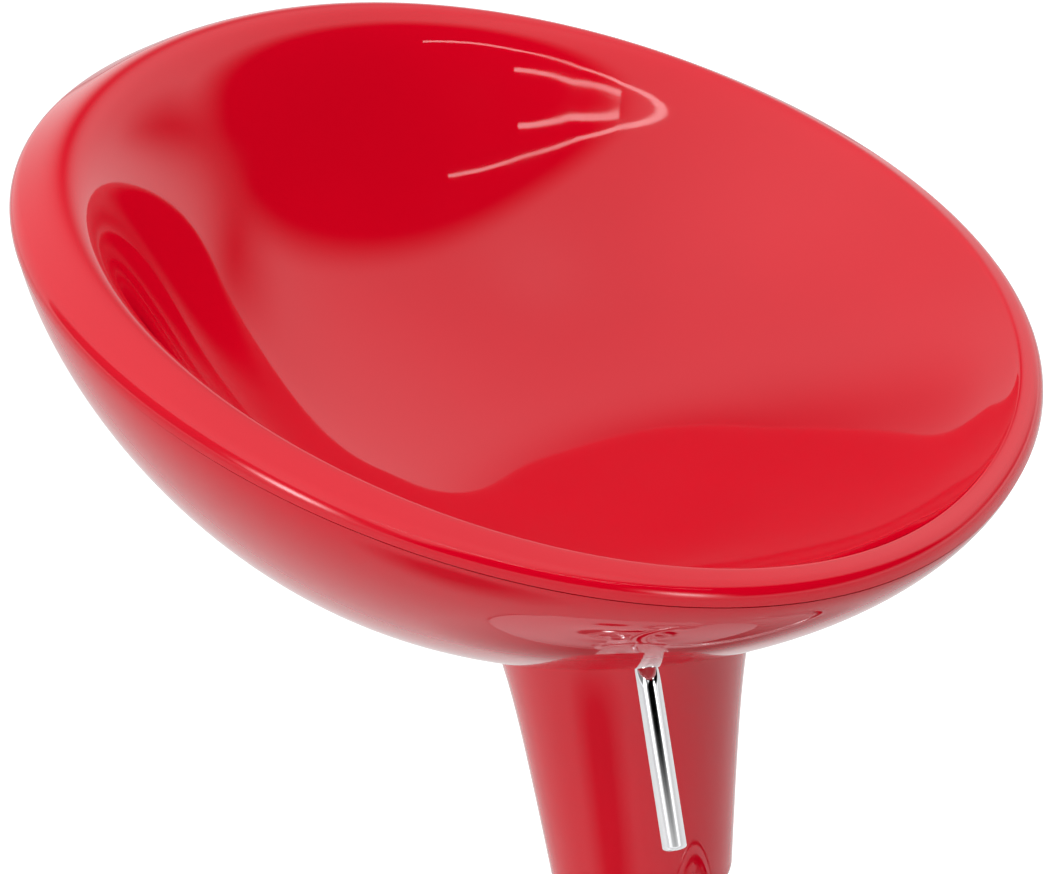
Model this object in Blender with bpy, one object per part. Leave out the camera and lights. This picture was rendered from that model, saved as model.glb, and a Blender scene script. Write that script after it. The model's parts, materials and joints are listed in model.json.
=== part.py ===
"""Height-adjustable swivel stool: glossy two-shell bucket seat, gas lift, foot ring and trumpet foot.

Frame: +Z up, origin on the column axis at floor level. The sitter faces -Y, so the sitter's right is -X.
Rest position: seat at its lowest height, facing the foot ring, lever released.
"""

import math

import bmesh
import bpy
import numpy as np
from mathutils import Matrix, Vector

MM = 0.001
GAP = 0.3 * MM  # clearance left between touching pieces

# ---- seat: measured from the flat underside of the bowl, on the column axis --------------------------------
SEAT_Z = 550 * MM  # underside of the seat above the floor, at the lowest height
SIDE_REACH = 228 * MM  # axis to the rim at each side: the seat is 456 mm wide
FRONT_REACH = 171 * MM
BACK_REACH = 223.5 * MM
FRONT_RISE = 57 * MM  # height of the rim's widest line above the underside
SIDE_RISE = 127.5 * MM
BACK_RISE = 202.5 * MM
REACH_SKEW = -1.2 * MM  # third harmonics of the rim
RISE_SKEW = 3.4 * MM
FLOOR_RISE = 33.5 * MM  # sitting surface above the underside, on the axis
SHELL = 3.6 * MM  # moulded wall
ROLL_RADIUS = 8 * MM  # rolled outer edge of the rim
LIP_SLOPE = math.radians(22)  # fall of the lip where it meets the roll
LIP_WIDTH = (11 * MM, 21 * MM, 40 * MM)  # front, side, back
LIP_RISE = (0.5 * MM, 9 * MM)  # crest of the lip above the roll, front and back
BOWL = (  # a point's share of the crest's reach, then of its height at the front, side and back
    (0.28, 0.0, 0.0, 0.0), (0.52, 0.20, 0.10, 0.15), (0.72, 0.44, 0.31, 0.33), (0.87, 0.66, 0.57, 0.56),
    (0.955, 0.85, 0.79, 0.80),
)
SEAM_DROP = 2.0 * MM  # seam between the shells, below the rim's widest line
SEAM_GAP = 0.6 * MM
TONGUE_HEIGHT = 3.6 * MM  # rebate of the lower shell inside the upper one
FLAT_RADIUS = 54.5 * MM  # flat underside that the lift plate and the stem bolt to
BELLY = (1.43, 1.77)  # radial exponent of the underside's curve, front and back
UPRIGHT = (1.37, 1.51)  # its upright exponent
CHANNEL_DEPTH = 6 * MM  # shallow channel in the underside that lets the lever rise
CHANNEL_HALF_WIDTH = 13 * MM
CHANNEL_SPAN = (48 * MM, 60 * MM, 92 * MM, 118 * MM)  # starts, is deepest from and to, ends
SHELL_HOLE = 30 * MM  # radius of the hole in the flat underside

# ---- under the seat: distances above the seat's underside --------------------------------------------------
PLATE_RADIUS = 42 * MM
PLATE_THICKNESS = 3 * MM
BOARD_RADIUS = 47 * MM
BOARD_TOP = 16.5 * MM
SEAT_SCREW_REACH = 33 * MM
SEAT_SCREW_TIP = 15 * MM
STEM_SCREW_REACH = 50 * MM
STEM_SCREW_TIP = 8 * MM
HUB_RADIUS = 20 * MM
HUB_TOP = -3.6 * MM
HUB_FOOT = -58 * MM
LIFT_TOP = -20 * MM  # tapered top of the gas cylinder

# ---- lever -------------------------------------------------------------------------------------------------
LEVER_TURN = math.radians(60)  # from straight ahead, towards the sitter's right
LEVER_RADIUS = 5 * MM
LEVER_PIVOT_REACH = 28 * MM
LEVER_PIVOT_Z = -9 * MM
LEVER_BEND_REACH = 80 * MM
LEVER_BEND_Z = -4.5 * MM
LEVER_DROP = 74 * MM
LEVER_SPLAY = math.radians(18)
LEVER_LEAN = math.radians(2.5)  # the handle also leans a little sideways
PADDLE_UNDERSIDE = 2.5 * MM  # below the pivot
LEVER_SLOT = 15 * MM  # width of the slot in the socket that the lever works in

# ---- stem --------------------------------------------------------------------------------------------------
STEM_LENGTH = 148 * MM
STEM_FOOT_RADIUS = 38.7 * MM
STEM_TAPER = 14.6 * MM  # extra radius at the top from the straight taper
STEM_FLARE = 10.3 * MM  # and from the flare
STEM_FLARE_LENGTH = 25 * MM
STEM_WALL = 3 * MM
STEM_FOOT_ROUND = 9 * MM

# ---- lift and column: heights above the floor --------------------------------------------------------------
CYLINDER_RADIUS = 14 * MM
CYLINDER_TIP_RADIUS = 13.2 * MM
CYLINDER_BORE = 11.5 * MM
CYLINDER_FOOT = 62 * MM
STROKE = 210 * MM  # how far the seat rises: the piston runs this far down the cylinder
ROD_RADIUS = 5 * MM
TUBE_RADIUS = 25 * MM
TUBE_WALL = 2 * MM
TUBE_FOOT = 8.6 * MM
TUBE_TOP = 452 * MM
BUSH_LENGTH = 80 * MM

# ---- foot and foot ring ------------------------------------------------------------------------------------
BASE_RADIUS = 200 * MM
DISH_WALL = 1.6 * MM
DISH_EDGE_Z = 3 * MM
DISH_CROWN = 15 * MM
DISH_FLARE = 56 * MM
DISH_FLARE_LENGTH = 28 * MM
DISH_NECK = 31.5 * MM
BALLAST_RADIUS = 172 * MM
BALLAST_TOP = 8.3 * MM
RING_Z = 277 * MM
RING_TUBE_RADIUS = 11 * MM
RING_TUBE_WALL = 1.6 * MM
RING_RADIUS = 98 * MM  # centre line
RING_REACH = BACK_REACH  # the ring reaches as far forward as the seat does back
RING_GAP = math.radians(25)  # half of the gap at the collar

# ---- sides of a full circle on large, middling and small round pieces --------------------------------------
LARGE, MEDIUM, SMALL = 32, 18, 10

MATERIALS = {
    "red_abs": ((0.62, 0.004, 0.012), 0.12, 0.0),
    "chrome": ((0.80, 0.81, 0.83), 0.08, 1.0),
    "steel": ((0.42, 0.43, 0.45), 0.38, 1.0),
    "black_steel": ((0.02, 0.02, 0.022), 0.35, 0.6),
    "zinc": ((0.62, 0.62, 0.60), 0.30, 1.0),
    "brass": ((0.72, 0.52, 0.22), 0.30, 1.0),
    "black_plastic": ((0.015, 0.015, 0.016), 0.45, 0.0),
    "rubber": ((0.02, 0.02, 0.02), 0.85, 0.0),
    "plywood": ((0.62, 0.45, 0.27), 0.70, 0.0),
}


# ---- helpers -----------------------------------------------------------------------------------------------
def clear_scene():
    for obj in list(bpy.data.objects):
        bpy.data.objects.remove(obj)


def material(name):
    found = bpy.data.materials.get(name)
    if found:
        return found
    colour, roughness, metallic = MATERIALS[name]
    made = bpy.data.materials.new(name)
    made.use_nodes = True
    shader = made.node_tree.nodes["Principled BSDF"]
    shader.inputs["Base Color"].default_value = (*colour, 1)
    shader.inputs["Roughness"].default_value = roughness
    shader.inputs["Metallic"].default_value = metallic
    return made


def frame(name, location=(0, 0, 0), turn=0.0, parent=None):
    """An empty that pieces hang from."""
    empty = bpy.data.objects.new(name, None)
    bpy.context.scene.collection.objects.link(empty)
    empty.parent = parent
    empty.location = location
    empty.rotation_euler = (0, 0, turn)
    return empty


def add(name, bm, parent, slot, smooth=40):
    """Makes an object of a bmesh, facing outwards, with sharp edges above the given angle in degrees."""
    bmesh.ops.recalc_face_normals(bm, faces=bm.faces)
    mesh = bpy.data.meshes.new(name)
    bm.to_mesh(mesh)
    bm.free()
    mesh.shade_smooth()
    mesh.set_sharp_from_angle(angle=math.radians(smooth))
    mesh.materials.append(material(slot))
    obj = bpy.data.objects.new(name, mesh)
    bpy.context.scene.collection.objects.link(obj)
    obj.parent = parent
    return obj


def cut(target, *cutters, solver="EXACT"):
    for cutter in cutters:
        cutter.hide_render = True
        cutter.display_type = "WIRE"
        modifier = target.modifiers.new("cut_" + cutter.name, "BOOLEAN")
        modifier.operation = "DIFFERENCE"
        modifier.object = cutter
        modifier.solver = solver


def join(target, *tools, solver="EXACT"):
    for tool in tools:
        tool.hide_render = True
        tool.display_type = "WIRE"
        modifier = target.modifiers.new("join_" + tool.name, "BOOLEAN")
        modifier.operation = "UNION"
        modifier.object = tool
        modifier.solver = solver


def turned(name, profile, parent, slot, segments=MEDIUM, location=(0, 0, 0)):
    """Spins a closed (radius, height) outline about Z. Points on the axis close the solid there."""
    bm = bmesh.new()
    points = [bm.verts.new((r, 0, z)) for r, z in profile]
    edges = [bm.edges.new((a, b)) for a, b in zip(points, points[1:] + points[:1]) if a.co.x + b.co.x > 0]
    bmesh.ops.spin(
        bm, geom=points + edges, cent=(0, 0, 0), axis=(0, 0, 1),
        angle=math.tau, steps=segments, use_merge=True, use_duplicate=False,
    )
    bmesh.ops.remove_doubles(bm, verts=bm.verts, dist=1e-6)
    bmesh.ops.dissolve_degenerate(bm, edges=bm.edges, dist=1e-7)
    made = add(name, bm, parent, slot)
    made.location = location
    return made


def pipe(r_in, r_out, z_low, z_high):
    """Outline of a plain tube."""
    return [(r_in, z_low), (r_out, z_low), (r_out, z_high), (r_in, z_high)]


def rod(radius, z_low, z_high, chamfer=0.0):
    """Outline of a solid round bar with chamfered ends."""
    return [
        (0, z_low), (radius - chamfer, z_low), (radius, z_low + chamfer),
        (radius, z_high - chamfer), (radius - chamfer, z_high), (0, z_high),
    ] if chamfer else [(0, z_low), (radius, z_low), (radius, z_high), (0, z_high)]


def block(name, size, centre, parent, slot, bevel=0.0):
    bm = bmesh.new()
    bmesh.ops.create_cube(bm, size=1.0, matrix=Matrix.Translation(centre) @ Matrix.Diagonal((*size, 1)))
    if bevel:
        bmesh.ops.bevel(bm, geom=bm.edges, offset=bevel, segments=1, affect="EDGES")
    return add(name, bm, parent, slot)


def bar_between(name, start, end, radius, parent, segments=SMALL):
    """A plain cylinder between two points, used as a cutter or a pin."""
    start, end = Vector(start), Vector(end)
    along = end - start
    place = Matrix.Translation((start + end) / 2) @ along.to_track_quat("Z", "Y").to_matrix().to_4x4()
    bm = bmesh.new()
    bmesh.ops.create_cone(
        bm, cap_ends=True, segments=segments, radius1=radius, radius2=radius, depth=along.length,
        matrix=place,
    )
    return add(name, bm, parent, "steel")


def swept(name, points, radius, parent, slot, resolution=3):
    """A round bar along a smooth line of points."""
    curve = bpy.data.curves.new(name, "CURVE")
    curve.dimensions = "3D"
    curve.bevel_depth = radius
    curve.bevel_resolution = resolution
    curve.use_fill_caps = True
    spline = curve.splines.new("POLY")
    spline.points.add(len(points) - 1)
    for node, point in zip(spline.points, points):
        node.co = (*point, 1)
    curve.materials.append(material(slot))
    scratch = bpy.data.objects.new(name + "_line", curve)
    mesh = bpy.data.meshes.new_from_object(scratch)
    bpy.data.objects.remove(scratch)
    bm = bmesh.new()
    bm.from_mesh(mesh)
    bmesh.ops.remove_doubles(bm, verts=bm.verts, dist=1e-6)
    return add(name, bm, parent, slot)


def arc(centre, radius, start, end, count):
    """Points on an arc in a plane, with angles in radians."""
    return [
        (centre[0] + radius * math.cos(a), centre[1] + radius * math.sin(a))
        for a in np.linspace(start, end, count)
    ]


def filleted(corners, radius, count=7):
    """An open 3-D line whose inner corners are rounded to the radius."""
    line = [Vector(corners[0])]
    for before, corner, after in zip(corners, corners[1:], corners[2:]):
        corner = Vector(corner)
        inward = (Vector(before) - corner).normalized()
        outward = (Vector(after) - corner).normalized()
        half = inward.angle(outward) / 2
        bisector = (inward + outward).normalized()
        centre = corner + bisector * (radius / math.sin(half))
        start = corner + inward * (radius / math.tan(half)) - centre
        turn = start.rotation_difference(corner + outward * (radius / math.tan(half)) - centre)
        for share in np.linspace(0, 1, count):
            step = turn.copy()
            step.angle = turn.angle * share
            line.append(centre + step @ start)
    return line + [Vector(corners[-1])]


def blend(pair, share):
    return pair[0] + (pair[1] - pair[0]) * share


def smoothstep(x, low, high):
    t = min(1.0, max(0.0, (x - low) / (high - low)))
    return t * t * (3 - 2 * t)


def spline(controls, count):
    """Points along a clamped cubic B-spline of the control points."""
    controls = np.array(controls, float)
    spans = len(controls) - 3
    knots = np.concatenate([[0, 0, 0], np.arange(spans + 1), [spans] * 3]).astype(float)
    points = []
    for t in np.linspace(0, spans, count):
        k = min(int(t), spans - 1) + 3
        d = [controls[j + k - 3] for j in range(4)]
        for r in range(1, 4):
            for j in range(3, r - 1, -1):
                low = knots[j + k - 3]
                share = (t - low) / (knots[j + 1 + k - r] - low)
                d[j] = (1 - share) * d[j - 1] + share * d[j]
        points.append(tuple(d[3]))
    return points


def offset(path, distance):
    """A (radius, height) line moved sideways, to its right-hand side."""
    points = np.array(path, float)
    along = np.gradient(points, axis=0)
    along /= np.linalg.norm(along, axis=1, keepdims=True)
    return [tuple(p) for p in points + distance * np.stack([along[:, 1], -along[:, 0]], axis=1)]


# ---- the seat's shape --------------------------------------------------------------------------------------
def around_rim(front, side, back, skew, theta):
    """A value that runs smoothly round the rim. Theta is 0 straight ahead and pi at the back."""
    c1, c2, c3 = (math.cos(k * theta) for k in (1, 2, 3))
    ends = (front + back) / 2
    return (ends + side) / 2 + ((front - back) / 2 - skew) * c1 + (ends - side) / 2 * c2 + skew * c3


def rim(theta):
    """Reach and height of the rim's widest line."""
    reach = around_rim(FRONT_REACH, SIDE_REACH, BACK_REACH, REACH_SKEW, theta)
    return reach, around_rim(FRONT_RISE, SIDE_RISE, BACK_RISE, RISE_SKEW, theta)


def upper_section(theta, bowl_points=11, roll_points=4):
    """Outer line of the upper shell: from the axis up the bowl, over the lip and round the roll."""
    reach, height = rim(theta)
    back = (1 - math.cos(theta)) / 2
    width = around_rim(*LIP_WIDTH, 0, theta)
    rise = blend(LIP_RISE, back)
    foot = np.array([0, FLOOR_RISE])
    end = np.array([
        reach - ROLL_RADIUS * (1 - math.sin(LIP_SLOPE)), height + ROLL_RADIUS * math.cos(LIP_SLOPE)
    ])
    crest = np.array([reach - width, end[1] + rise])
    fall = np.array([math.cos(LIP_SLOPE), -math.sin(LIP_SLOPE)])
    controls = [foot]
    controls += [foot + (crest - foot) * (radial, around_rim(*shares, 0, theta)) for radial, *shares in BOWL]
    controls += [crest + (0.24 * width, 0.15 * rise), end - 0.38 * width * fall, end]
    roll = arc((reach - ROLL_RADIUS, height), ROLL_RADIUS, math.pi / 2 - LIP_SLOPE, 0, roll_points)
    return spline(controls, bowl_points) + roll[1:] + [(reach, height - SEAM_DROP + SEAM_GAP)]


def channel(reach, theta):
    """How far the lever's channel lifts the underside at this place."""
    aside = reach * math.sin(theta + LEVER_TURN)
    if math.cos(theta + LEVER_TURN) <= 0:
        return 0.0
    starts, deep_from, deep_to, ends = CHANNEL_SPAN
    along = smoothstep(reach, starts, deep_from) * (1 - smoothstep(reach, deep_to, ends))
    return CHANNEL_DEPTH * along * math.exp(-((aside / CHANNEL_HALF_WIDTH) ** 2))


def lower_section(theta, count=8):
    """Outer line of the lower shell, from the flat underside to the seam: fuller at the back."""
    reach, height = rim(theta)
    back = (1 - math.cos(theta)) / 2
    radial, upright = blend(BELLY, back), blend(UPRIGHT, back)
    points = []
    for turn in np.linspace(0, math.pi / 2, count):
        share = math.sin(turn)
        rise = 1 - (1 - share**radial) ** (1 / upright)
        points.append((FLAT_RADIUS + (reach - 0.5 * MM - FLAT_RADIUS) * share, (height - SEAM_DROP) * rise))
    return points


def loft(name, sections, parent, slot, closed):
    """Skins rings made by the same index of each section. An open section starts and ends on the axis."""
    bm = bmesh.new()
    count = len(sections)
    rings = list(zip(*sections))
    poles = [] if closed else [rings.pop(0)[0], rings.pop()[0]]
    made = []
    for ring in rings:
        made.append([
            bm.verts.new((r * math.sin(math.tau * i / count), -r * math.cos(math.tau * i / count), z))
            for i, (r, z) in enumerate(ring)
        ])
    pairs = list(zip(made, made[1:] + (made[:1] if closed else [])))
    for low, high in pairs[: None if closed else len(made) - 1]:
        for i in range(count):
            k = (i + 1) % count
            bm.faces.new((low[i], low[k], high[k], high[i]))
    for pole, ring in zip(poles, (made[0], made[-1])):
        tip = bm.verts.new((0, 0, pole[1]))
        for i in range(count):
            bm.faces.new((tip, ring[i], ring[(i + 1) % count]))
    return add(name, bm, parent, slot)


def seat_shells(seat, segments=LARGE):
    """The two mouldings of the seat. The lower one's edge stands in a rebate behind the upper one's."""
    turns = [math.tau * i / segments for i in range(segments)]
    uppers = []
    for theta in turns:
        outer = upper_section(theta)
        inner = offset(outer, SHELL)
        inner[0] = (0, outer[0][1] - SHELL)
        inner[-1] = (outer[-1][0] - SHELL, outer[-1][1])
        uppers.append(outer + inner[::-1])
    loft("seat_upper_shell", uppers, seat, "red_abs", closed=False)

    lowers = []
    for theta in turns:
        flat = [(SHELL_HOLE, 0), (44 * MM, 0), (CHANNEL_SPAN[0] + 1 * MM, 0)]
        outer = [(r, z + channel(r, theta)) for r, z in flat + lower_section(theta)]
        inner = offset(outer, -SHELL)
        inner[0] = (SHELL_HOLE, SHELL)
        reach, top = outer[-1]
        step = reach - SHELL - 0.5 * MM
        inner[-1] = (step - 2.2 * MM, top)
        tongue = [(step, top), (step, top + TONGUE_HEIGHT), (step - 2.2 * MM, top + TONGUE_HEIGHT)]
        lowers.append(outer + tongue + inner[::-1])
    return loft("seat_lower_shell", lowers, seat, "red_abs", closed=True)


# ---- under the seat ----------------------------------------------------------------------------------------
def around(reach, turn, z=0.0):
    """A point at this reach and turn from straight ahead, turning towards the sitter's right."""
    return Vector((-reach * math.sin(turn), -reach * math.cos(turn), z))


def drill(target, name, place, radius, z_low, z_high, parent):
    """Cuts an upright round hole at a place."""
    low = Vector((place.x, place.y, z_low))
    cut(target, bar_between(name, low, low + Vector((0, 0, z_high - z_low)), radius, parent))


def screw_line(radius, head_radius, head_height, face, tip):
    """Outline of a screw whose head hangs under this face, with its shank up to the tip."""
    foot = face - head_height
    return [
        (0, foot), (0.72 * head_radius, foot), (head_radius, foot + head_height / 2), (head_radius, face),
        (radius, face), (radius, tip), (0, tip),
    ]


def seat_fixings(seat, lower_shell):
    """Plywood insert between the shells, the plate under them, and the four screws that clamp the stack."""
    bottom = SHELL + GAP
    screw_hole, nut_hole = 3.4 * MM, 5 * MM
    board = turned("seat_insert_board", rod(BOARD_RADIUS, bottom, BOARD_TOP, 1 * MM), seat, "plywood", LARGE)
    plate_line = pipe(9 * MM, PLATE_RADIUS, -GAP - PLATE_THICKNESS, -GAP)
    plate = turned("lift_plate", plate_line, seat, "zinc", LARGE)
    seat_face = -GAP - PLATE_THICKNESS - GAP
    for i in range(4):
        place = around(SEAT_SCREW_REACH, LEVER_TURN + math.pi / 4 + i * math.pi / 2)
        drill(plate, f"plate_hole_{i + 1}", place, screw_hole, -8 * MM, 2 * MM, seat)
        drill(lower_shell, f"shell_hole_{i + 1}", place, screw_hole, -2 * MM, 6 * MM, seat)
        drill(board, f"board_hole_{i + 1}", place, nut_hole, 2 * MM, 20 * MM, seat)
        screw = screw_line(3 * MM, 5.8 * MM, 4.2 * MM, seat_face, SEAT_SCREW_TIP)
        turned(f"seat_screw_{i + 1}", screw, seat, "zinc", SMALL, place)
        turned(f"insert_nut_{i + 1}", pipe(3.3 * MM, 4.7 * MM, bottom, 16 * MM), seat, "brass", SMALL, place)
    return plate


def lift_hub(seat, plate):
    """Tapered socket that grips the gas cylinder. It and the plate are slotted for the lever."""
    tip = CYLINDER_TIP_RADIUS + GAP
    grip = CYLINDER_RADIUS + GAP
    hub = [
        (grip, HUB_FOOT), (HUB_RADIUS - 1.5 * MM, HUB_FOOT), (HUB_RADIUS, HUB_FOOT + 1.5 * MM),
        (HUB_RADIUS, HUB_TOP), (tip, HUB_TOP), (tip, LIFT_TOP),
    ]
    hub = turned("lift_hub", hub, seat, "steel")
    slots = frame("slot_frame", turn=lever_yaw(), parent=seat)
    hub_slot = block("hub_slot", (40 * MM, LEVER_SLOT, 26 * MM), (20 * MM, 0, -5.5 * MM), slots, "steel")
    plate_slot = block("plate_slot", (30 * MM, LEVER_SLOT - 1 * MM, 12 * MM), (40 * MM, 0, 0), slots, "steel")
    cut(hub, hub_slot)
    cut(plate, plate_slot)


def lever_yaw():
    """Turn about Z that lays the local X axis along the lever, outwards."""
    outward = around(1, LEVER_TURN)
    return math.atan2(outward.y, outward.x)


def lever(seat, plate):
    """Chromed lever on a pin between two ears. Its flat inner end presses the valve when it is lifted."""
    pivot = frame("lever_pivot", around(LEVER_PIVOT_REACH, LEVER_TURN, LEVER_PIVOT_Z), lever_yaw(), seat)
    bend = Vector((LEVER_BEND_REACH - LEVER_PIVOT_REACH, 0, LEVER_BEND_Z - LEVER_PIVOT_Z))
    start = Vector((-18 * MM, 0, 0))
    fall = Vector((math.sin(LEVER_SPLAY), math.tan(LEVER_LEAN), -math.cos(LEVER_SPLAY))).normalized()
    route = filleted([start, Vector((0, 0, 0)), bend, bend + LEVER_DROP * fall], 9 * MM)
    handle = swept("lever", route, LEVER_RADIUS, pivot, "chrome")
    paddle = (26 * MM, 10.5 * MM, 2 * PADDLE_UNDERSIDE)
    join(handle, block("paddle", paddle, (-22 * MM, 0, 0), pivot, "chrome", 0.8 * MM))
    cut(handle, bar_between("lever_pin_hole", (0, -8 * MM, 0), (0, 8 * MM, 0), 2.3 * MM, pivot))
    ear_top = -GAP - PLATE_THICKNESS / 2 - LEVER_PIVOT_Z
    ear_foot = -4.5 * MM
    for side, sign in (("left", 1), ("right", -1)):
        size = (10 * MM, 2.5 * MM, ear_top - ear_foot)
        join(plate, block(f"ear_{side}", size, (0, sign * 9 * MM, (ear_top + ear_foot) / 2), pivot, "zinc"))
    cut(plate, bar_between("ear_holes", (0, -14 * MM, 0), (0, 14 * MM, 0), 2.3 * MM, pivot))
    bar_between("lever_pin", (0, -12 * MM, 0), (0, 12 * MM, 0), 2 * MM, pivot)


# ---- stem --------------------------------------------------------------------------------------------------
def stem_radius(drop):
    """Outer radius of the stem at this distance below the seat."""
    share = drop / STEM_LENGTH
    return STEM_FOOT_RADIUS + STEM_TAPER * (1 - share) + STEM_FLARE * math.exp(-drop / STEM_FLARE_LENGTH)


def stem(seat, lower_shell):
    """Moulded cover of the lift, screwed to the seat through an inner flange, with a rounded foot."""
    drops = [GAP + (STEM_LENGTH - STEM_FOOT_ROUND - GAP) * share**1.3 for share in np.linspace(0, 1, 7)]
    outer = [(stem_radius(drop), -drop) for drop in drops]
    centre = (outer[-1][0] - STEM_FOOT_ROUND, outer[-1][1])
    outer += arc(centre, STEM_FOOT_ROUND, 0, -math.pi / 2, 4)[1:]
    inner = arc(centre, STEM_FOOT_ROUND - STEM_WALL, -math.pi / 2, 0, 3)
    inner += [(stem_radius(drop) - STEM_WALL, -drop) for drop in drops[-2:1:-1]]
    flange_foot = -GAP - STEM_WALL
    flange = [
        (stem_radius(-flange_foot) - STEM_WALL, flange_foot), (PLATE_RADIUS + 1.5 * MM, flange_foot),
        (PLATE_RADIUS + 1.5 * MM, -GAP),
    ]
    cover = turned("stem_cover", outer + inner + flange, seat, "red_abs", LARGE)
    slots = frame("notch_frame", turn=lever_yaw(), parent=seat)
    notch = block("stem_notch", (40 * MM, LEVER_SLOT + 2 * MM, 28 * MM), (60 * MM, 0, 0), slots, "steel")
    cut(cover, notch)
    for i in range(3):
        place = around(STEM_SCREW_REACH, LEVER_TURN + math.pi + (i - 1) * math.radians(110))
        drill(cover, f"flange_hole_{i + 1}", place, 2.0 * MM, -6 * MM, 3 * MM, seat)
        drill(lower_shell, f"boss_hole_{i + 1}", place, 2.0 * MM, -2 * MM, 6 * MM, seat)
        screw = screw_line(1.6 * MM, 3.6 * MM, 2.6 * MM, flange_foot - GAP, STEM_SCREW_TIP)
        turned(f"stem_screw_{i + 1}", screw, seat, "zinc", SMALL, place)


# ---- gas lift ----------------------------------------------------------------------------------------------
def gas_spring(swivel):
    """What rises with the seat: cylinder, valve and rod guide. Heights are above the floor."""
    top = SEAT_Z + LIFT_TOP
    grip_foot = SEAT_Z + HUB_FOOT
    guide_top = CYLINDER_FOOT + 3 * MM
    cylinder = [
        (CYLINDER_BORE, guide_top + GAP), (CYLINDER_RADIUS, guide_top + GAP), (CYLINDER_RADIUS, grip_foot),
        (CYLINDER_TIP_RADIUS, top), (CYLINDER_BORE, top),
    ]
    turned("gas_cylinder", cylinder, swivel, "chrome")
    fit = CYLINDER_BORE - GAP
    guide = [
        (ROD_RADIUS + GAP, CYLINDER_FOOT), (CYLINDER_RADIUS - 0.5 * MM, CYLINDER_FOOT),
        (CYLINDER_RADIUS - 0.5 * MM, guide_top), (fit, guide_top), (fit, CYLINDER_FOOT + 28 * MM),
        (ROD_RADIUS + GAP, CYLINDER_FOOT + 28 * MM),
    ]
    turned("rod_guide", guide, swivel, "black_plastic")
    pin = 3 * MM
    housing = [
        (pin + GAP, top - 28 * MM), (fit, top - 28 * MM), (fit, top + GAP), (fit + 1.2 * MM, top + GAP),
        (fit + 1.2 * MM, top + 2.5 * MM), (pin + GAP, top + 2.5 * MM),
    ]
    turned("valve_housing", housing, swivel, "brass")
    pin_top = SEAT_Z + LEVER_PIVOT_Z - PADDLE_UNDERSIDE - 0.5 * MM
    turned("valve_pin", rod(pin, top - 32 * MM, pin_top, 0.6 * MM), swivel, "steel", SMALL)


def piston_assembly(swivel):
    """What turns with the seat but stays down: rod, piston, stop and the bearing's upper washer."""
    piston_top = SEAT_Z + LIFT_TOP - 40 * MM
    piston_foot = piston_top - 24 * MM
    shoulder = 24.1 * MM
    end = 4 * MM
    rod_line = [
        (0, 9.2 * MM), (end, 9.2 * MM), (end, shoulder), (ROD_RADIUS, shoulder),
        (ROD_RADIUS, piston_top - 3 * MM), (0, piston_top - 3 * MM),
    ]
    turned("piston_rod", rod_line, swivel, "chrome", SMALL)
    turned("rod_clip", pipe(end + GAP, 8.5 * MM, 9.7 * MM, 11.3 * MM), swivel, "steel", SMALL)
    turned("bearing_washer_upper", pipe(end + GAP, 14 * MM, 22 * MM, 23.8 * MM), swivel, "steel")
    turned("bump_stop", pipe(ROD_RADIUS + GAP, 12 * MM, shoulder, CYLINDER_FOOT - GAP), swivel, "rubber")
    fit = CYLINDER_BORE - GAP
    groove = 9 * MM
    low, high = piston_foot + 9 * MM, piston_foot + 15 * MM
    piston = [
        (ROD_RADIUS + GAP, piston_foot), (fit, piston_foot), (fit, low), (groove, low), (groove, high),
        (fit, high), (fit, piston_top), (0, piston_top), (0, piston_top - 2.5 * MM),
        (ROD_RADIUS + GAP, piston_top - 2.5 * MM),
    ]
    turned("piston", piston, swivel, "steel")
    turned("piston_seal", pipe(groove + GAP, fit, low + GAP, high - GAP), swivel, "rubber")


def ball_cage(balls=8):
    """Thrust bearing's ring with its balls."""
    centre = 19.9 * MM
    ring = pipe(5 * MM, 13.6 * MM, centre - 0.7 * MM, centre + 0.7 * MM)
    cage = turned("bearing_cage", ring, None, "steel")
    for i in range(balls):
        turn = math.tau * i / balls
        bm = bmesh.new()
        place = Matrix.Translation((9.4 * MM * math.cos(turn), 9.4 * MM * math.sin(turn), centre))
        bmesh.ops.create_uvsphere(bm, u_segments=8, v_segments=4, radius=1.8 * MM, matrix=place)
        join(cage, add(f"ball_{i + 1}", bm, None, "steel"))


def column():
    """Fixed outer tube, its guide bush, and the plate and washer that carry the rod at the bottom."""
    bore = TUBE_RADIUS - TUBE_WALL
    turned("column_tube", pipe(bore, TUBE_RADIUS, TUBE_FOOT, TUBE_TOP), None, "chrome", LARGE)
    turned("column_bottom_plate", pipe(4.5 * MM, bore - GAP, 11.8 * MM, 16 * MM), None, "steel")
    turned("bearing_washer_lower", pipe(4.5 * MM, 14 * MM, 16.3 * MM, 17.8 * MM), None, "steel")
    slide = CYLINDER_RADIUS + 0.35 * MM
    bush = [
        (slide, TUBE_TOP - BUSH_LENGTH), (bore - GAP, TUBE_TOP - BUSH_LENGTH), (bore - GAP, TUBE_TOP + GAP),
        (TUBE_RADIUS, TUBE_TOP + GAP), (TUBE_RADIUS, TUBE_TOP + 2.5 * MM),
        (TUBE_RADIUS - 1 * MM, TUBE_TOP + 3.5 * MM), (slide, TUBE_TOP + 3.5 * MM),
    ]
    turned("guide_bush", bush, None, "black_plastic")


# ---- foot --------------------------------------------------------------------------------------------------
def dish_line(count=11):
    """Outer line of the chromed foot, from its neck out to its edge: a low crown with a trumpet flare."""
    start = math.asin(DISH_NECK / BASE_RADIUS)
    points = []
    for share in np.linspace(0, 1, count):
        turn = blend((start, math.pi / 2), share**1.5)
        reach = BASE_RADIUS * math.sin(turn)
        flare = DISH_FLARE * math.exp(-(reach - DISH_NECK) / DISH_FLARE_LENGTH)
        points.append((reach, DISH_EDGE_Z + DISH_CROWN * math.cos(turn) + flare))
    return points


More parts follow.
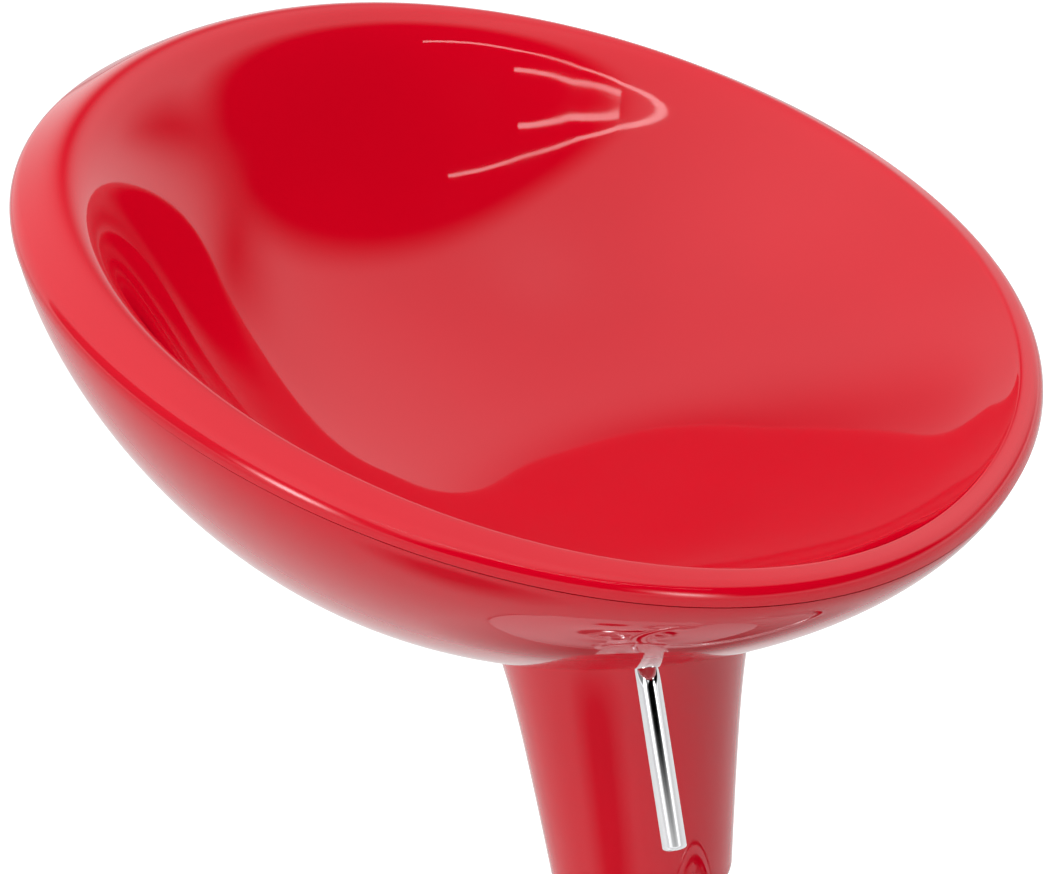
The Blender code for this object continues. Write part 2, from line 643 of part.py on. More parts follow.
def foot():
    """Chromed dish over a ballast plate, the hub that holds the column, and the rubber ring it stands on."""
    outer = dish_line()
    inner = offset(outer, DISH_WALL)
    inner[0] = (DISH_NECK - DISH_WALL, outer[0][1])
    inner[-1] = (BASE_RADIUS - DISH_WALL, DISH_EDGE_Z)
    turned("base_dish", outer + inner[::-1], None, "chrome", LARGE)
    ring = [
        (160 * MM, 0), (BASE_RADIUS - 2 * MM, 0), (BASE_RADIUS - 1 * MM, 1 * MM),
        (BASE_RADIUS - 1 * MM, 2.7 * MM), (160 * MM, 2.7 * MM),
    ]
    turned("base_floor_ring", ring, None, "rubber", LARGE)
    ballast = turned("ballast_plate", rod(BALLAST_RADIUS, 3 * MM, BALLAST_TOP), None, "black_steel", LARGE)
    bore = TUBE_RADIUS + GAP
    low = BALLAST_TOP + GAP
    sleeve = 30 * MM
    hub = [
        (bore, low), (58 * MM, low), (58 * MM, low + 4 * MM), (sleeve + 3 * MM, low + 4 * MM),
        (sleeve, low + 9 * MM), (sleeve, 66 * MM), (bore, 66 * MM),
    ]
    hub = turned("base_hub", hub, None, "black_steel", LARGE)
    face = low + 4 * MM + GAP
    for i in range(3):
        place = around(46 * MM, i * math.tau / 3)
        drill(hub, f"hub_hole_{i + 1}", place, 3.3 * MM, 5 * MM, 20 * MM, None)
        drill(ballast, f"ballast_hole_{i + 1}", place, 3.3 * MM, 1 * MM, 12 * MM, None)
        bolt = [
            (0, 3.4 * MM), (3 * MM, 3.4 * MM), (3 * MM, face), (5.5 * MM, face), (5.5 * MM, face + 3 * MM),
            (4.5 * MM, face + 4 * MM), (0, face + 4 * MM),
        ]
        turned(f"hub_bolt_{i + 1}", bolt, None, "zinc", SMALL, place)
    neck = outer[0][1] + GAP
    collar = [
        (bore, neck), (DISH_NECK + 2 * MM, neck), (DISH_NECK + 2 * MM, neck + 3 * MM),
        (DISH_NECK + 1 * MM, neck + 5 * MM), (bore + 2 * MM, neck + 7 * MM), (bore, neck + 7 * MM),
    ]
    turned("base_collar", collar, None, "chrome", LARGE)


def bent_tube(name, centre, start, end, r_out, r_in, slot, count, segments=SMALL):
    """Round bar bent flat around a centre, between two turns from the back. It is solid where r_in is 0."""
    bm = bmesh.new()
    outer, inner = [], []
    for turn in np.linspace(start, end, count):
        away = Vector((math.sin(turn), math.cos(turn), 0))
        point = centre + RING_RADIUS * away
        for radius, rings in ((r_out, outer), (r_in, inner)):
            turns = np.linspace(0, math.tau, segments, endpoint=False) if radius else []
            spokes = [math.cos(a) * away + Vector((0, 0, math.sin(a))) for a in turns]
            rings.append([bm.verts.new(point + radius * spoke) for spoke in spokes])
    loop = outer + inner[::-1] if r_in else outer
    for low, high in zip(loop, loop[1:] + (loop[:1] if r_in else [])):
        for k in range(segments):
            m = (k + 1) % segments
            bm.faces.new((low[k], low[m], high[m], high[k]))
    if not r_in:
        bm.faces.new(outer[0])
        bm.faces.new(outer[-1])
    return add(name, bm, None, slot)


def foot_ring():
    """Bent tube that starts and ends on a collar clamped to the column by two screws at the back."""
    centre = Vector((0, -(RING_REACH - RING_TUBE_RADIUS - RING_RADIUS), RING_Z))
    bore = RING_TUBE_RADIUS - RING_TUBE_WALL
    bent_tube("footrest_ring", centre, RING_GAP, math.tau - RING_GAP, RING_TUBE_RADIUS, bore, "chrome", 25)
    half = 15 * MM
    collar_bore = TUBE_RADIUS + GAP
    collar_radius = TUBE_RADIUS + 6.5 * MM
    collar = rod(collar_radius, RING_Z - half, RING_Z + half, 1 * MM)
    collar = turned("footrest_collar", collar, None, "chrome", LARGE)
    seam = RING_GAP - GAP / RING_RADIUS
    for side, sign in (("left", 1), ("right", -1)):
        stub = (sign * math.radians(12), sign * seam, RING_TUBE_RADIUS)
        spigot = (sign * math.radians(18), sign * math.radians(32), bore - 1.4 * MM)
        for name, (start, end, radius) in (("arm", stub), ("spigot", spigot)):
            bar = bent_tube(f"{name}_{side}", centre, start, end, radius, 0, "chrome", 4)
            join(collar, bar, solver="MANIFOLD")
    low, high = (Vector((0, 0, RING_Z + end * 2 * half)) for end in (-1, 1))
    cut(collar, bar_between("collar_bore", low, high, collar_bore, None, LARGE), solver="MANIFOLD")
    for i, turn in enumerate((math.pi - math.radians(35), math.pi + math.radians(35))):
        inside = around(TUBE_RADIUS + 0.6 * MM, turn, RING_Z)
        face = around(collar_radius + GAP, turn, RING_Z)
        outside = around(collar_radius + 4.5 * MM, turn, RING_Z)
        screw = bar_between(f"collar_screw_{i + 1}", inside, outside, 2.8 * MM, None)
        join(screw, bar_between(f"screw_head_{i + 1}", face, outside, 4.6 * MM, None))
        hole = bar_between(f"screw_hole_{i + 1}", around(20 * MM, turn, RING_Z), outside, 3.2 * MM, None)
        cut(collar, hole, solver="MANIFOLD")


def build():
    clear_scene()
    swivel = frame("swivel_axis")
    seat = frame("seat_frame", (0, 0, SEAT_Z), parent=swivel)
    lower_shell = seat_shells(seat)
    plate = seat_fixings(seat, lower_shell)
    lift_hub(seat, plate)
    lever(seat, plate)
    stem(seat, lower_shell)
    gas_spring(swivel)
    piston_assembly(swivel)
    ball_cage()
    column()
    foot()
    foot_ring()


build()
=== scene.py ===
"""Looks of the adjustable swivel stool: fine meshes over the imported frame, materials, studio and camera."""

import math

import bmesh
import bpy
import numpy as np
from mathutils import Matrix, Vector
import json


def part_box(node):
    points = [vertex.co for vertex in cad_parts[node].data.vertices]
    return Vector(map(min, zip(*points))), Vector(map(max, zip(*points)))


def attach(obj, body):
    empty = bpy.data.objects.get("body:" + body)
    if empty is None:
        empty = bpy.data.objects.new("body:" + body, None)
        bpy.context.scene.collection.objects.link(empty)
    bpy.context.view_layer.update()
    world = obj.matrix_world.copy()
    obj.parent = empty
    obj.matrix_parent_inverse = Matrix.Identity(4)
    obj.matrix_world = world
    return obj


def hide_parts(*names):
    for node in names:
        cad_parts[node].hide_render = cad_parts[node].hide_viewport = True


MM = 0.001

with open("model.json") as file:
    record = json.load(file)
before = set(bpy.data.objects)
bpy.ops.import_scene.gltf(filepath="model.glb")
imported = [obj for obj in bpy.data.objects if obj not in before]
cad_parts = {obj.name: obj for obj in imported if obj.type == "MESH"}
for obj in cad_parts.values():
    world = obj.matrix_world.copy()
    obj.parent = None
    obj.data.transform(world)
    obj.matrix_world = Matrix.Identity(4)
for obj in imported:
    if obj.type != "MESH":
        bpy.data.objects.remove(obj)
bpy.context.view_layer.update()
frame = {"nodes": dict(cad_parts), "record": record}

RED = (0.64, 0.0006, 0.014)

# ---- sizes: what the frame says, then the seat's own shape -------------------------------------------------
SEAT_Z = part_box("seat_lower_shell")[0].z
SIDE_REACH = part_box("seat_upper_shell")[1].x
FRONT_REACH = -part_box("seat_upper_shell")[0].y
BACK_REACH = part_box("seat_upper_shell")[1].y
FRONT_RISE = 57 * MM
SIDE_RISE = 127.5 * MM
BACK_RISE = 202.5 * MM
REACH_SKEW = -1.2 * MM
RISE_SKEW = 3.4 * MM
FLOOR_RISE = 33.5 * MM
SHELL = 3.6 * MM
ROLL_RADIUS = 8 * MM
LIP_SLOPE = math.radians(22)
LIP_WIDTH = (11 * MM, 21 * MM, 40 * MM)  # front, side, back
LIP_RISE = (0.5 * MM, 9 * MM)  # crest of the lip above the roll, front and back
CREST_EASE = (0.24, 0.15)  # the crest's control point, as shares of the lip's width and rise
LIP_EASE = 0.38  # and the next one, as a share of the width before the roll
BOWL = (  # a point's share of the crest's reach, then of its height at the front, side and back
    (0.28, 0.0, 0.0, 0.0), (0.52, 0.20, 0.10, 0.15), (0.72, 0.44, 0.31, 0.33), (0.87, 0.66, 0.57, 0.56),
    (0.955, 0.85, 0.79, 0.80),
)
SEAM_DROP = 2.0 * MM
SEAM_GAP = 0.6 * MM
SEAM_STEP = 0.5 * MM  # how far the lower shell stands back from the rim, and its tongue from its own wall
TONGUE_HEIGHT = 3.6 * MM
TONGUE_WIDTH = 2.2 * MM
FLAT_RADIUS = 54.5 * MM
BELLY = (1.43, 1.77)
UPRIGHT = (1.37, 1.51)
CHANNEL_DEPTH = 6 * MM
CHANNEL_HALF_WIDTH = 13 * MM
CHANNEL_SPAN = (48 * MM, 60 * MM, 92 * MM, 118 * MM)
SHELL_HOLE = 30 * MM
FLAT_LOOPS = (36 * MM, 42 * MM, 49 * MM, 51.5 * MM)  # rings of points across the flat underside
LEVER_TURN = math.radians(60)

# ---- sizes of the stem, the lift, the column and the foot --------------------------------------------------
STEM_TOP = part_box("stem_cover")[1].z
STEM_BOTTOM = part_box("stem_cover")[0].z
STEM_FOOT_RADIUS = 38.7 * MM
STEM_TAPER = 14.6 * MM
STEM_FLARE = 10.3 * MM
STEM_FLARE_LENGTH = 25 * MM
STEM_WALL = 3 * MM
STEM_FOOT_ROUND = 9 * MM
STEM_BORE = 43.5 * MM  # hole in the stem's top flange
NOTCH_SIZE = (40 * MM, 17 * MM, 28 * MM)  # out from the column, across, and up
NOTCH_REACH = 32 * MM  # its middle, from the lever's pin
NOTCH_BEVEL = 3 * MM

LEVER_RADIUS = 5 * MM
LEVER_PIVOT_REACH = 28 * MM
LEVER_PIVOT_Z = -9 * MM
LEVER_BEND_REACH = 80 * MM
LEVER_BEND_Z = -4.5 * MM
LEVER_DROP = 74 * MM
LEVER_SPLAY = math.radians(18)
LEVER_LEAN = math.radians(2.5)
LEVER_BEND_RADIUS = 9 * MM
LEVER_CHAMFER = 0.9 * MM
PADDLE_TIP = -35 * MM  # inner end of the flat paddle, from the pivot
PADDLE_ROOT = -13 * MM  # where the round rod flattens into it
PADDLE_FADE = 9 * MM
PADDLE_HALF = (5.2 * MM, 2.5 * MM)
PADDLE_SQUARENESS = 5
PIN_HOLE_RADIUS = 2.3 * MM

CYLINDER_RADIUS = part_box("gas_cylinder")[1].x
CYLINDER_FOOT, CYLINDER_TOP = (corner.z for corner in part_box("gas_cylinder"))
CYLINDER_BORE = 11.5 * MM
CYLINDER_TIP_RADIUS = 13.2 * MM
CYLINDER_TAPER_FOOT = SEAT_Z - 58 * MM
TUBE_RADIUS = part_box("column_tube")[1].x
TUBE_FOOT, TUBE_TOP = (corner.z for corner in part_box("column_tube"))
TUBE_WALL = 2 * MM
BUSH_FOOT, BUSH_TOP = (corner.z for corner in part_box("guide_bush"))

BASE_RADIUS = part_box("base_dish")[1].x
DISH_WALL = 1.6 * MM
DISH_EDGE_Z = 3 * MM
DISH_CROWN = 15 * MM
DISH_FLARE = 56 * MM
DISH_FLARE_LENGTH = 28 * MM
DISH_NECK = 31.5 * MM
FLOOR_RING_BORE = 160 * MM
GROOVES = 4
GROOVE_PITCH = 7 * MM
GROOVE_DEPTH, GROOVE_SIDE, GROOVE_WIDTH = 0.9 * MM, 0.6 * MM, 2.4 * MM
TRIM_LIP = 3.6 * MM  # height of the foot collar's upright edge
RING_Z = sum(corner.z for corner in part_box("footrest_ring")) / 2
RING_TUBE_RADIUS = 11 * MM
RING_TUBE_WALL = 1.6 * MM
RING_RADIUS = 98 * MM
RING_CENTRE = Vector((0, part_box("footrest_ring")[0].y + RING_TUBE_RADIUS + RING_RADIUS, RING_Z))
RING_GAP = math.radians(25)
COLLAR_RADIUS = TUBE_RADIUS + 6.5 * MM
COLLAR_HALF = 15 * MM
COLLAR_SCREW_TURN = math.radians(35)
COLLAR_OVERLAP = 4 * MM  # of the collar's blank over the column, cut away later
ARM_START = math.radians(12)
SPIGOT_SPAN = (math.radians(18), math.radians(32))
SPIGOT_GAP = 1.4 * MM
SCREW_RADIUS, SCREW_HEAD_RADIUS = 2.8 * MM, 4.6 * MM
SCREW_SHANK, SCREW_TOP = 6.2 * MM, 10.4 * MM
SCREW_HOLE_RADIUS = 3.2 * MM
SOCKET_FOOT, SOCKET_RADIUS = 7.6 * MM, 2.6 * MM
GAP = 0.3 * MM

# ---- camera ------------------------------------------------------------------------------------------------
CAMERA_AZIMUTH, CAMERA_ELEVATION, CAMERA_ROLL = (math.radians(turn) for turn in (-65.88, 25.78, -4.57))
CAMERA_DISTANCE = 1.4135  # from the top of the column
CAMERA_AIM = (0.027257, 0.040232)  # how far right and down the column's top sits, as tangents
LENS, SENSOR = 115.145, 36  # millimetres

# ---- light: brightness 1 is the white of the backdrop. Angles in degrees, azimuth 0 is -Y and 90 is +X ----
TENT = 1.0
FROM_BELOW = 0.5
HORIZON = (-0.06, 0.0)  # where the light from below gives way to the tent, in radians
PATCH_FADE = (0.02, 0.16)  # where the dark patches fade in above the horizon
DARK_PATCHES = (  # azimuth, elevation, half width, half height, softness of the edge, darkness
    (-14, 0, 68, 43, 0.08, 1), (60, 0, 12, 12, 0.6, 1), (-125, 12, 56, 33, 0.12, 0.8),
)
LOBES = (  # azimuth, elevation, width, extra brightness
    (-110, 55, 40, 0.45), (5, 55, 14, 0.3), (116, 33, 18, -0.9), (70, 14, 9, -0.2),
)
WINDOWS = ((-105, 14, 8, 14.0), (-15, 12, 6, 8.0))  # the same, and not dimmed by the dark patches
FLOOR_RADIUS = 12
CARD_STEP = 2 * MM  # between the floor and each card under it
FLOOR_SHADE, FLOOR_GLOW = 0.9, 0.3
# the last shade, the places and the reach below are painted shadow: dark round spots on the mirrored card
# under the stool, fading out between the two reaches in metres, so the seat's underside mirrors shade there
BOUNCE_SHADE, MIRROR_SHADE, PAINTED_SHADOW_SHADE = 0.46, 0.74, 0.12
MIRROR_PAINTED_SHADOWS = ((0.22, 0.06, 0), (-0.58, 0.10, 0))
PAINTED_SHADOW_REACH = (0.1, 0.3)
SEAT_MIDDLE = Vector((0, 0.1, 0.7))
OVERHEAD_PLACE, OVERHEAD_SIZE, OVERHEAD = (0.3, -1.4, 2.9), (2.4, 2.4), 1.15
FILL_PLACE, FILL_TARGET, FILL_SIZE, SIDE_FILL = (-2.5, 1.3, 1.4), (0, 0.1, 0.65), (2.0, 1.5), 1.8
LIGHT_TUBES = (  # azimuths and elevations of the stops that each bent tube runs through
    ("long_tube", (-75, 42), (-60, 40.9), (-45, 39), (-33, 37.5), (-16, 35.3), (-4, 33.1), (5, 30.3)),
    ("short_tube", (-45, 37.8), (-32, 34.4), (-18, 31)),
)
LIGHT_DISTANCE, LIGHT_WIDTH, LIGHT_RADIANCE = 8, 0.08, 6.0


# ---- shape helpers -----------------------------------------------------------------------------------------
def blend(pair, share):
    return pair[0] + (pair[1] - pair[0]) * share


def smoothstep(x, low, high):
    t = min(1.0, max(0.0, (x - low) / (high - low)))
    return t * t * (3 - 2 * t)


def arc(centre, radius, start, end, count):
    turns = np.linspace(start, end, count)
    return [(centre[0] + radius * math.cos(a), centre[1] + radius * math.sin(a)) for a in turns]


def spline(controls, count):
    """Points along a clamped cubic B-spline of the control points."""
    controls = np.array(controls, float)
    spans = len(controls) - 3
    knots = np.concatenate([[0, 0, 0], np.arange(spans + 1), [spans] * 3]).astype(float)
    points = []
    for t in np.linspace(0, spans, count):
        k = min(int(t), spans - 1) + 3
        d = [controls[j + k - 3] for j in range(4)]
        for r in range(1, 4):
            for j in range(3, r - 1, -1):
                low = knots[j + k - 3]
                share = (t - low) / (knots[j + 1 + k - r] - low)
                d[j] = (1 - share) * d[j - 1] + share * d[j]
        points.append(tuple(d[3]))
    return points


def offset(path, distance):
    """A (radius, height) line moved sideways, to its right-hand side."""
    points = np.array(path, float)
    along = np.gradient(points, axis=0)
    along /= np.linalg.norm(along, axis=1, keepdims=True)
    return [tuple(p) for p in points + distance * np.stack([along[:, 1], -along[:, 0]], axis=1)]


def rounded(corners, segments=4):
    """A closed outline of (radius, height, fillet) corners, each rounded by its fillet."""
    made = []
    count = len(corners)
    for i, (x, z, fillet) in enumerate(corners):
        here = Vector((x, z))
        if not fillet:
            made.append((x, z))
            continue
        before = (Vector(corners[i - 1][:2]) - here).normalized()
        after = (Vector(corners[(i + 1) % count][:2]) - here).normalized()
        half = before.angle(after) / 2
        reach = fillet / math.tan(half)
        start, end = here + before * reach, here + after * reach
        centre = here + (before + after).normalized() * (fillet / math.sin(half))
        spokes = (start - centre).normalized(), (end - centre).normalized()
        for share in np.linspace(0, 1, segments + 1):
            made.append(tuple(centre + fillet * spokes[0].slerp(spokes[1], share)))
    return made


def piece(name, bm, body, slot_name, look, *stands_for, smooth=35):
    """Makes a shown piece of a bmesh: it rides on a body, takes a slot's finish and stands for CAD nodes."""
    obj = plain_object(name, bm, smooth)
    obj.data.materials.clear()
    obj.data.materials.append(look)
    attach(obj, body)
    if stands_for:
        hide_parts(*stands_for)
    return obj


def plain_object(name, bm, smooth=35):
    bmesh.ops.recalc_face_normals(bm, faces=bm.faces)
    mesh = bpy.data.meshes.new(name)
    bm.to_mesh(mesh)
    bm.free()
    mesh.shade_smooth()
    mesh.set_sharp_from_angle(angle=math.radians(smooth))
    obj = bpy.data.objects.new(name, mesh)
    bpy.context.scene.collection.objects.link(obj)
    return obj


def carved(bm, *tools, operation="DIFFERENCE"):
    """The bmesh after each tool bmesh is cut from it or joined to it."""
    target = plain_object("target", bm)
    cutters = [plain_object("tool", tool) for tool in tools]
    for cutter in cutters:
        modifier = target.modifiers.new("carve", "BOOLEAN")
        modifier.operation = operation
        modifier.object = cutter
        modifier.solver = "MANIFOLD"
    bpy.context.view_layer.update()
    result = bpy.data.meshes.new_from_object(target.evaluated_get(bpy.context.evaluated_depsgraph_get()))
    made = bmesh.new()
    made.from_mesh(result)
    bpy.data.meshes.remove(result)
    for obj in (target, *cutters):
        mesh = obj.data
        bpy.data.objects.remove(obj)
        bpy.data.meshes.remove(mesh)
    return made


def skin(rings, poles=()):
    """A bmesh of closed rings joined in order, and back to the first one unless poles close the ends."""
    bm = bmesh.new()
    made = [[bm.verts.new(p) for p in ring] for ring in rings]
    count = len(made[0])
    pairs = list(zip(made, made[1:])) + ([] if poles else [(made[-1], made[0])])
    for low, high in pairs:
        for i in range(count):
            k = (i + 1) % count
            bm.faces.new((low[i], low[k], high[k], high[i]))
    for pole, ring in zip(poles, (made[0], made[-1])):
        tip = bm.verts.new(pole)
        for i in range(count):
            bm.faces.new((tip, ring[i], ring[(i + 1) % count]))
    return bm


def turned(profile, segments=96, base_z=0.0):
    """A bmesh of a closed (radius, height) outline spun about Z, or one that starts and ends on the axis."""
    turns = np.linspace(0, math.tau, segments, endpoint=False)
    poles = []
    if profile[0][0] == 0:
        poles = [(0, 0, base_z + profile[0][1]), (0, 0, base_z + profile[-1][1])]
        profile = profile[1:-1]
    rings = [[(r * math.cos(a), r * math.sin(a), base_z + z) for a in turns] for r, z in profile]
    return skin(rings, poles)


# ---- the seat's shape --------------------------------------------------------------------------------------
def around_rim(front, side, back, skew, theta):
    """A value that runs smoothly round the rim. Theta is 0 straight ahead and pi at the back."""
    c1, c2, c3 = (math.cos(k * theta) for k in (1, 2, 3))
    ends = (front + back) / 2
    return (ends + side) / 2 + ((front - back) / 2 - skew) * c1 + (ends - side) / 2 * c2 + skew * c3


def rim(theta):
    """Reach and height of the rim's widest line."""
    reach = around_rim(FRONT_REACH, SIDE_REACH, BACK_REACH, REACH_SKEW, theta)
    return reach, around_rim(FRONT_RISE, SIDE_RISE, BACK_RISE, RISE_SKEW, theta)


def upper_section(theta, bowl_points=72, roll_points=10):
    """Outer line of the upper shell: from the axis up the bowl, over the lip and the roll to the seam."""
    reach, height = rim(theta)
    back = (1 - math.cos(theta)) / 2
    width = around_rim(*LIP_WIDTH, 0, theta)
    rise = blend(LIP_RISE, back)
    foot = np.array([0, FLOOR_RISE])
    end = np.array([
        reach - ROLL_RADIUS * (1 - math.sin(LIP_SLOPE)), height + ROLL_RADIUS * math.cos(LIP_SLOPE)
    ])
    crest = np.array([reach - width, end[1] + rise])
    fall = np.array([math.cos(LIP_SLOPE), -math.sin(LIP_SLOPE)])
    controls = [foot]
    controls += [foot + (crest - foot) * (radial, around_rim(*shares, 0, theta)) for radial, *shares in BOWL]
    controls += [crest + np.array(CREST_EASE) * (width, rise), end - LIP_EASE * width * fall, end]
    roll = arc((reach - ROLL_RADIUS, height), ROLL_RADIUS, math.pi / 2 - LIP_SLOPE, 0, roll_points)
    return spline(controls, bowl_points) + roll[1:] + [(reach, height - SEAM_DROP + SEAM_GAP)]


def channel(reach, theta):
    """How far the lever's channel lifts the underside at this place."""
    aside = reach * math.sin(theta + LEVER_TURN)
    if math.cos(theta + LEVER_TURN) <= 0:
        return 0.0
    starts, deep_from, deep_to, ends = CHANNEL_SPAN
    along = smoothstep(reach, starts, deep_from) * (1 - smoothstep(reach, deep_to, ends))
    return CHANNEL_DEPTH * along * math.exp(-((aside / CHANNEL_HALF_WIDTH) ** 2))


def lower_section(theta, count=40):
    """Outer line of the lower shell, up to the seam: a superellipse, fuller at the back."""
    reach, height = rim(theta)
    back = (1 - math.cos(theta)) / 2
    radial, upright = blend(BELLY, back), blend(UPRIGHT, back)
    points = []
    for turn in np.linspace(0, math.pi / 2, count):
        share = math.sin(turn)
        rise = 1 - (1 - share**radial) ** (1 / upright)
        points.append((FLAT_RADIUS + (reach - SEAM_STEP - FLAT_RADIUS) * share, (height - SEAM_DROP) * rise))
    return points


def loft(sections, open_top=False):
    """Skins the same point of each section round the axis. The sections stand at even turns."""
    count = len(sections)
    turns = [math.tau * i / count for i in range(count)]
    rings = [
        [(r * math.sin(a), -r * math.cos(a), SEAT_Z + z) for a, (r, z) in zip(turns, ring)]
        for ring in zip(*sections)
    ]
    poles = [(0, 0, rings.pop(0)[0][2]), (0, 0, rings.pop()[0][2])] if open_top else ()
    return skin(rings, poles)


def seat_shells(look, segments=240):
    turns = [math.tau * i / segments for i in range(segments)]
    uppers, lowers = [], []
    for theta in turns:
        outer = upper_section(theta)
        inner = offset(outer, SHELL)
        inner[0] = (0, outer[0][1] - SHELL)
        inner[-1] = (outer[-1][0] - SHELL, outer[-1][1])
        uppers.append(outer + inner[::-1])
    piece("seat_upper", loft(uppers, open_top=True), "seat", "red_abs", look, "seat_upper_shell")
    for theta in turns:
        flat = [(reach, 0) for reach in (SHELL_HOLE, *FLAT_LOOPS)]
        outer = [(r, z + channel(r, theta)) for r, z in flat + lower_section(theta)]
        inner = offset(outer, -SHELL)
        inner[0] = (SHELL_HOLE, SHELL)
        reach, top = outer[-1]
        step = reach - SHELL - SEAM_STEP
        inner[-1] = (step - TONGUE_WIDTH, top)
        tongue = [(step, top), (step, top + TONGUE_HEIGHT), (step - TONGUE_WIDTH, top + TONGUE_HEIGHT)]
        lowers.append(outer + tongue + inner[::-1])
    piece("seat_lower", loft(lowers), "seat", "red_abs", look, "seat_lower_shell")


def stem_radius(drop):
    share = drop / (SEAT_Z - STEM_BOTTOM)
    return STEM_FOOT_RADIUS + STEM_TAPER * (1 - share) + STEM_FLARE * math.exp(-drop / STEM_FLARE_LENGTH)


def around(reach, turn, z=0.0):
    """A point at this reach and turn from straight ahead, turning towards the sitter's right."""
    return Vector((-reach * math.sin(turn), -reach * math.cos(turn), z))


def lever_space():
    """Frame of the lever: origin on its pin, X outwards, Z up."""
    outward = around(1, LEVER_TURN)
    turn = Matrix.Rotation(math.atan2(outward.y, outward.x), 4, "Z")
    return Matrix.Translation(around(LEVER_PIVOT_REACH, LEVER_TURN, SEAT_Z + LEVER_PIVOT_Z)) @ turn


def soft_block(size, centre, bevel, segments=4):
    """A bmesh box with rounded edges."""
    bm = bmesh.new()
    bmesh.ops.create_cube(bm, size=1.0, matrix=Matrix.Translation(centre) @ Matrix.Diagonal((*size, 1)))
    bmesh.ops.bevel(bm, geom=bm.edges[:], offset=bevel, segments=segments, affect="EDGES", profile=0.5)
    return bm


def bar(start, end, radius, segments=32):
    """A bmesh cylinder between two points."""
    start, end = Vector(start), Vector(end)
    along = end - start
    place = Matrix.Translation((start + end) / 2) @ along.to_track_quat("Z", "Y").to_matrix().to_4x4()
    bm = bmesh.new()
    bmesh.ops.create_cone(
        bm, cap_ends=True, segments=segments, radius1=radius, radius2=radius, depth=along.length, matrix=place
    )
    return bm


def stem(look):
    """Moulded cover of the lift, with an inner flange, a notch for the lever and a rounded foot."""
    length = SEAT_Z - STEM_BOTTOM
    top = SEAT_Z - STEM_TOP
    drops = [top + (length - STEM_FOOT_ROUND - top) * share**1.4 for share in np.linspace(0, 1, 40)]
    outer = [(stem_radius(drop), -drop) for drop in drops]
    centre = (outer[-1][0] - STEM_FOOT_ROUND, outer[-1][1])
    outer += arc(centre, STEM_FOOT_ROUND, 0, -math.pi / 2, 12)[1:]
    inner = arc(centre, STEM_FOOT_ROUND - STEM_WALL, -math.pi / 2, 0, 8)
    inner += [(stem_radius(drop) - STEM_WALL, -drop) for drop in drops[-2:4:-2]]
    foot = top + STEM_WALL
    flange = [(stem_radius(foot) - STEM_WALL, -foot), (STEM_BORE, -foot), (STEM_BORE, -top)]
    notch = soft_block(NOTCH_SIZE, (NOTCH_REACH, 0, -LEVER_PIVOT_Z), NOTCH_BEVEL)
    notch.transform(lever_space())
    cover = carved(turned(outer + inner + flange, 160, SEAT_Z), notch)
    piece("stem", cover, "seat", "red_abs", look, "stem_cover", smooth=50)


# ---- the lever ---------------------------------------------------------------------------------------------
def filleted(corners, radius, count):
    """An open 3-D line whose inner corners are rounded to the radius."""
    line = [Vector(corners[0])]
    for before, corner, after in zip(corners, corners[1:], corners[2:]):
        corner = Vector(corner)
        inward = (Vector(before) - corner).normalized()
        outward = (Vector(after) - corner).normalized()
        half = inward.angle(outward) / 2
        centre = corner + (inward + outward).normalized() * (radius / math.sin(half))
        start = corner + inward * (radius / math.tan(half)) - centre
        turn = start.rotation_difference(corner + outward * (radius / math.tan(half)) - centre)
        for share in np.linspace(0, 1, count):
            step = turn.copy()
            step.angle = turn.angle * share
            line.append(centre + step @ start)
    return line + [Vector(corners[-1])]


def sweep(route, section, segments=40):
    """A bmesh bar along a route. The section gives each point's half width, half height and squareness."""
    rings = []
    for i, point in enumerate(route):
        along = (route[min(i + 1, len(route) - 1)] - route[max(i - 1, 0)]).normalized()
        side = (Vector((0, 1, 0)) - along.y * along).normalized()
        up = along.cross(side)
        wide, high, power = section(i)
        ring = []
        for turn in np.linspace(0, math.tau, segments, endpoint=False):
            c, s = math.cos(turn), math.sin(turn)
            flat = (abs(c) ** power + abs(s) ** power) ** (-1 / power)
            ring.append(point + wide * c * flat * side + high * s * flat * up)
        rings.append(ring)
    return skin(rings, (route[0], route[-1]))


def lever(look):
    """Bent round rod with a bevelled end, flattened inside the seat where it presses the valve."""
    bend = Vector((LEVER_BEND_REACH - LEVER_PIVOT_REACH, 0, LEVER_BEND_Z - LEVER_PIVOT_Z))
    fall = Vector((math.sin(LEVER_SPLAY), math.tan(LEVER_LEAN), -math.cos(LEVER_SPLAY))).normalized()
    end = bend + LEVER_DROP * fall
    route = filleted([Vector((0, 0, 0)), bend, end - 2 * LEVER_CHAMFER * fall], LEVER_BEND_RADIUS, 16)
    bead = [(math.sin(a), math.cos(a)) for a in np.linspace(0, math.pi / 2, 6)]
    paddle = [PADDLE_TIP + LEVER_CHAMFER * (1 - c) for s, c in reversed(bead)]
    paddle_end = np.linspace(PADDLE_ROOT - 4 * MM, 0, 12, endpoint=False)
    flat = [Vector((x, 0, 0)) for x in [*paddle, *paddle_end]]
    tail = [end - LEVER_CHAMFER * (1 - s) * fall for s, c in bead]
    route = flat + route[1:] + tail
    shrink = [LEVER_CHAMFER * (1 - c) for s, c in bead]

    def section(i):
        flatness = 1 - smoothstep(route[i].x, PADDLE_ROOT, PADDLE_ROOT + PADDLE_FADE)
        wide, high = (LEVER_RADIUS + (half - LEVER_RADIUS) * flatness for half in PADDLE_HALF)
        from_tail = i - (len(route) - len(tail))
        less = shrink[from_tail] if from_tail >= 0 else 0.0
        less += LEVER_CHAMFER * max(0.0, 1 - i / (len(paddle) - 1)) ** 2
        return wide - less, high - less, 2 + PADDLE_SQUARENESS * flatness

    rod = carved(sweep(route, section), bar((0, -8 * MM, 0), (0, 8 * MM, 0), PIN_HOLE_RADIUS))
    rod.transform(lever_space())
    piece("lever_rod", rod, "lever", "chrome", look, "lever", smooth=30)


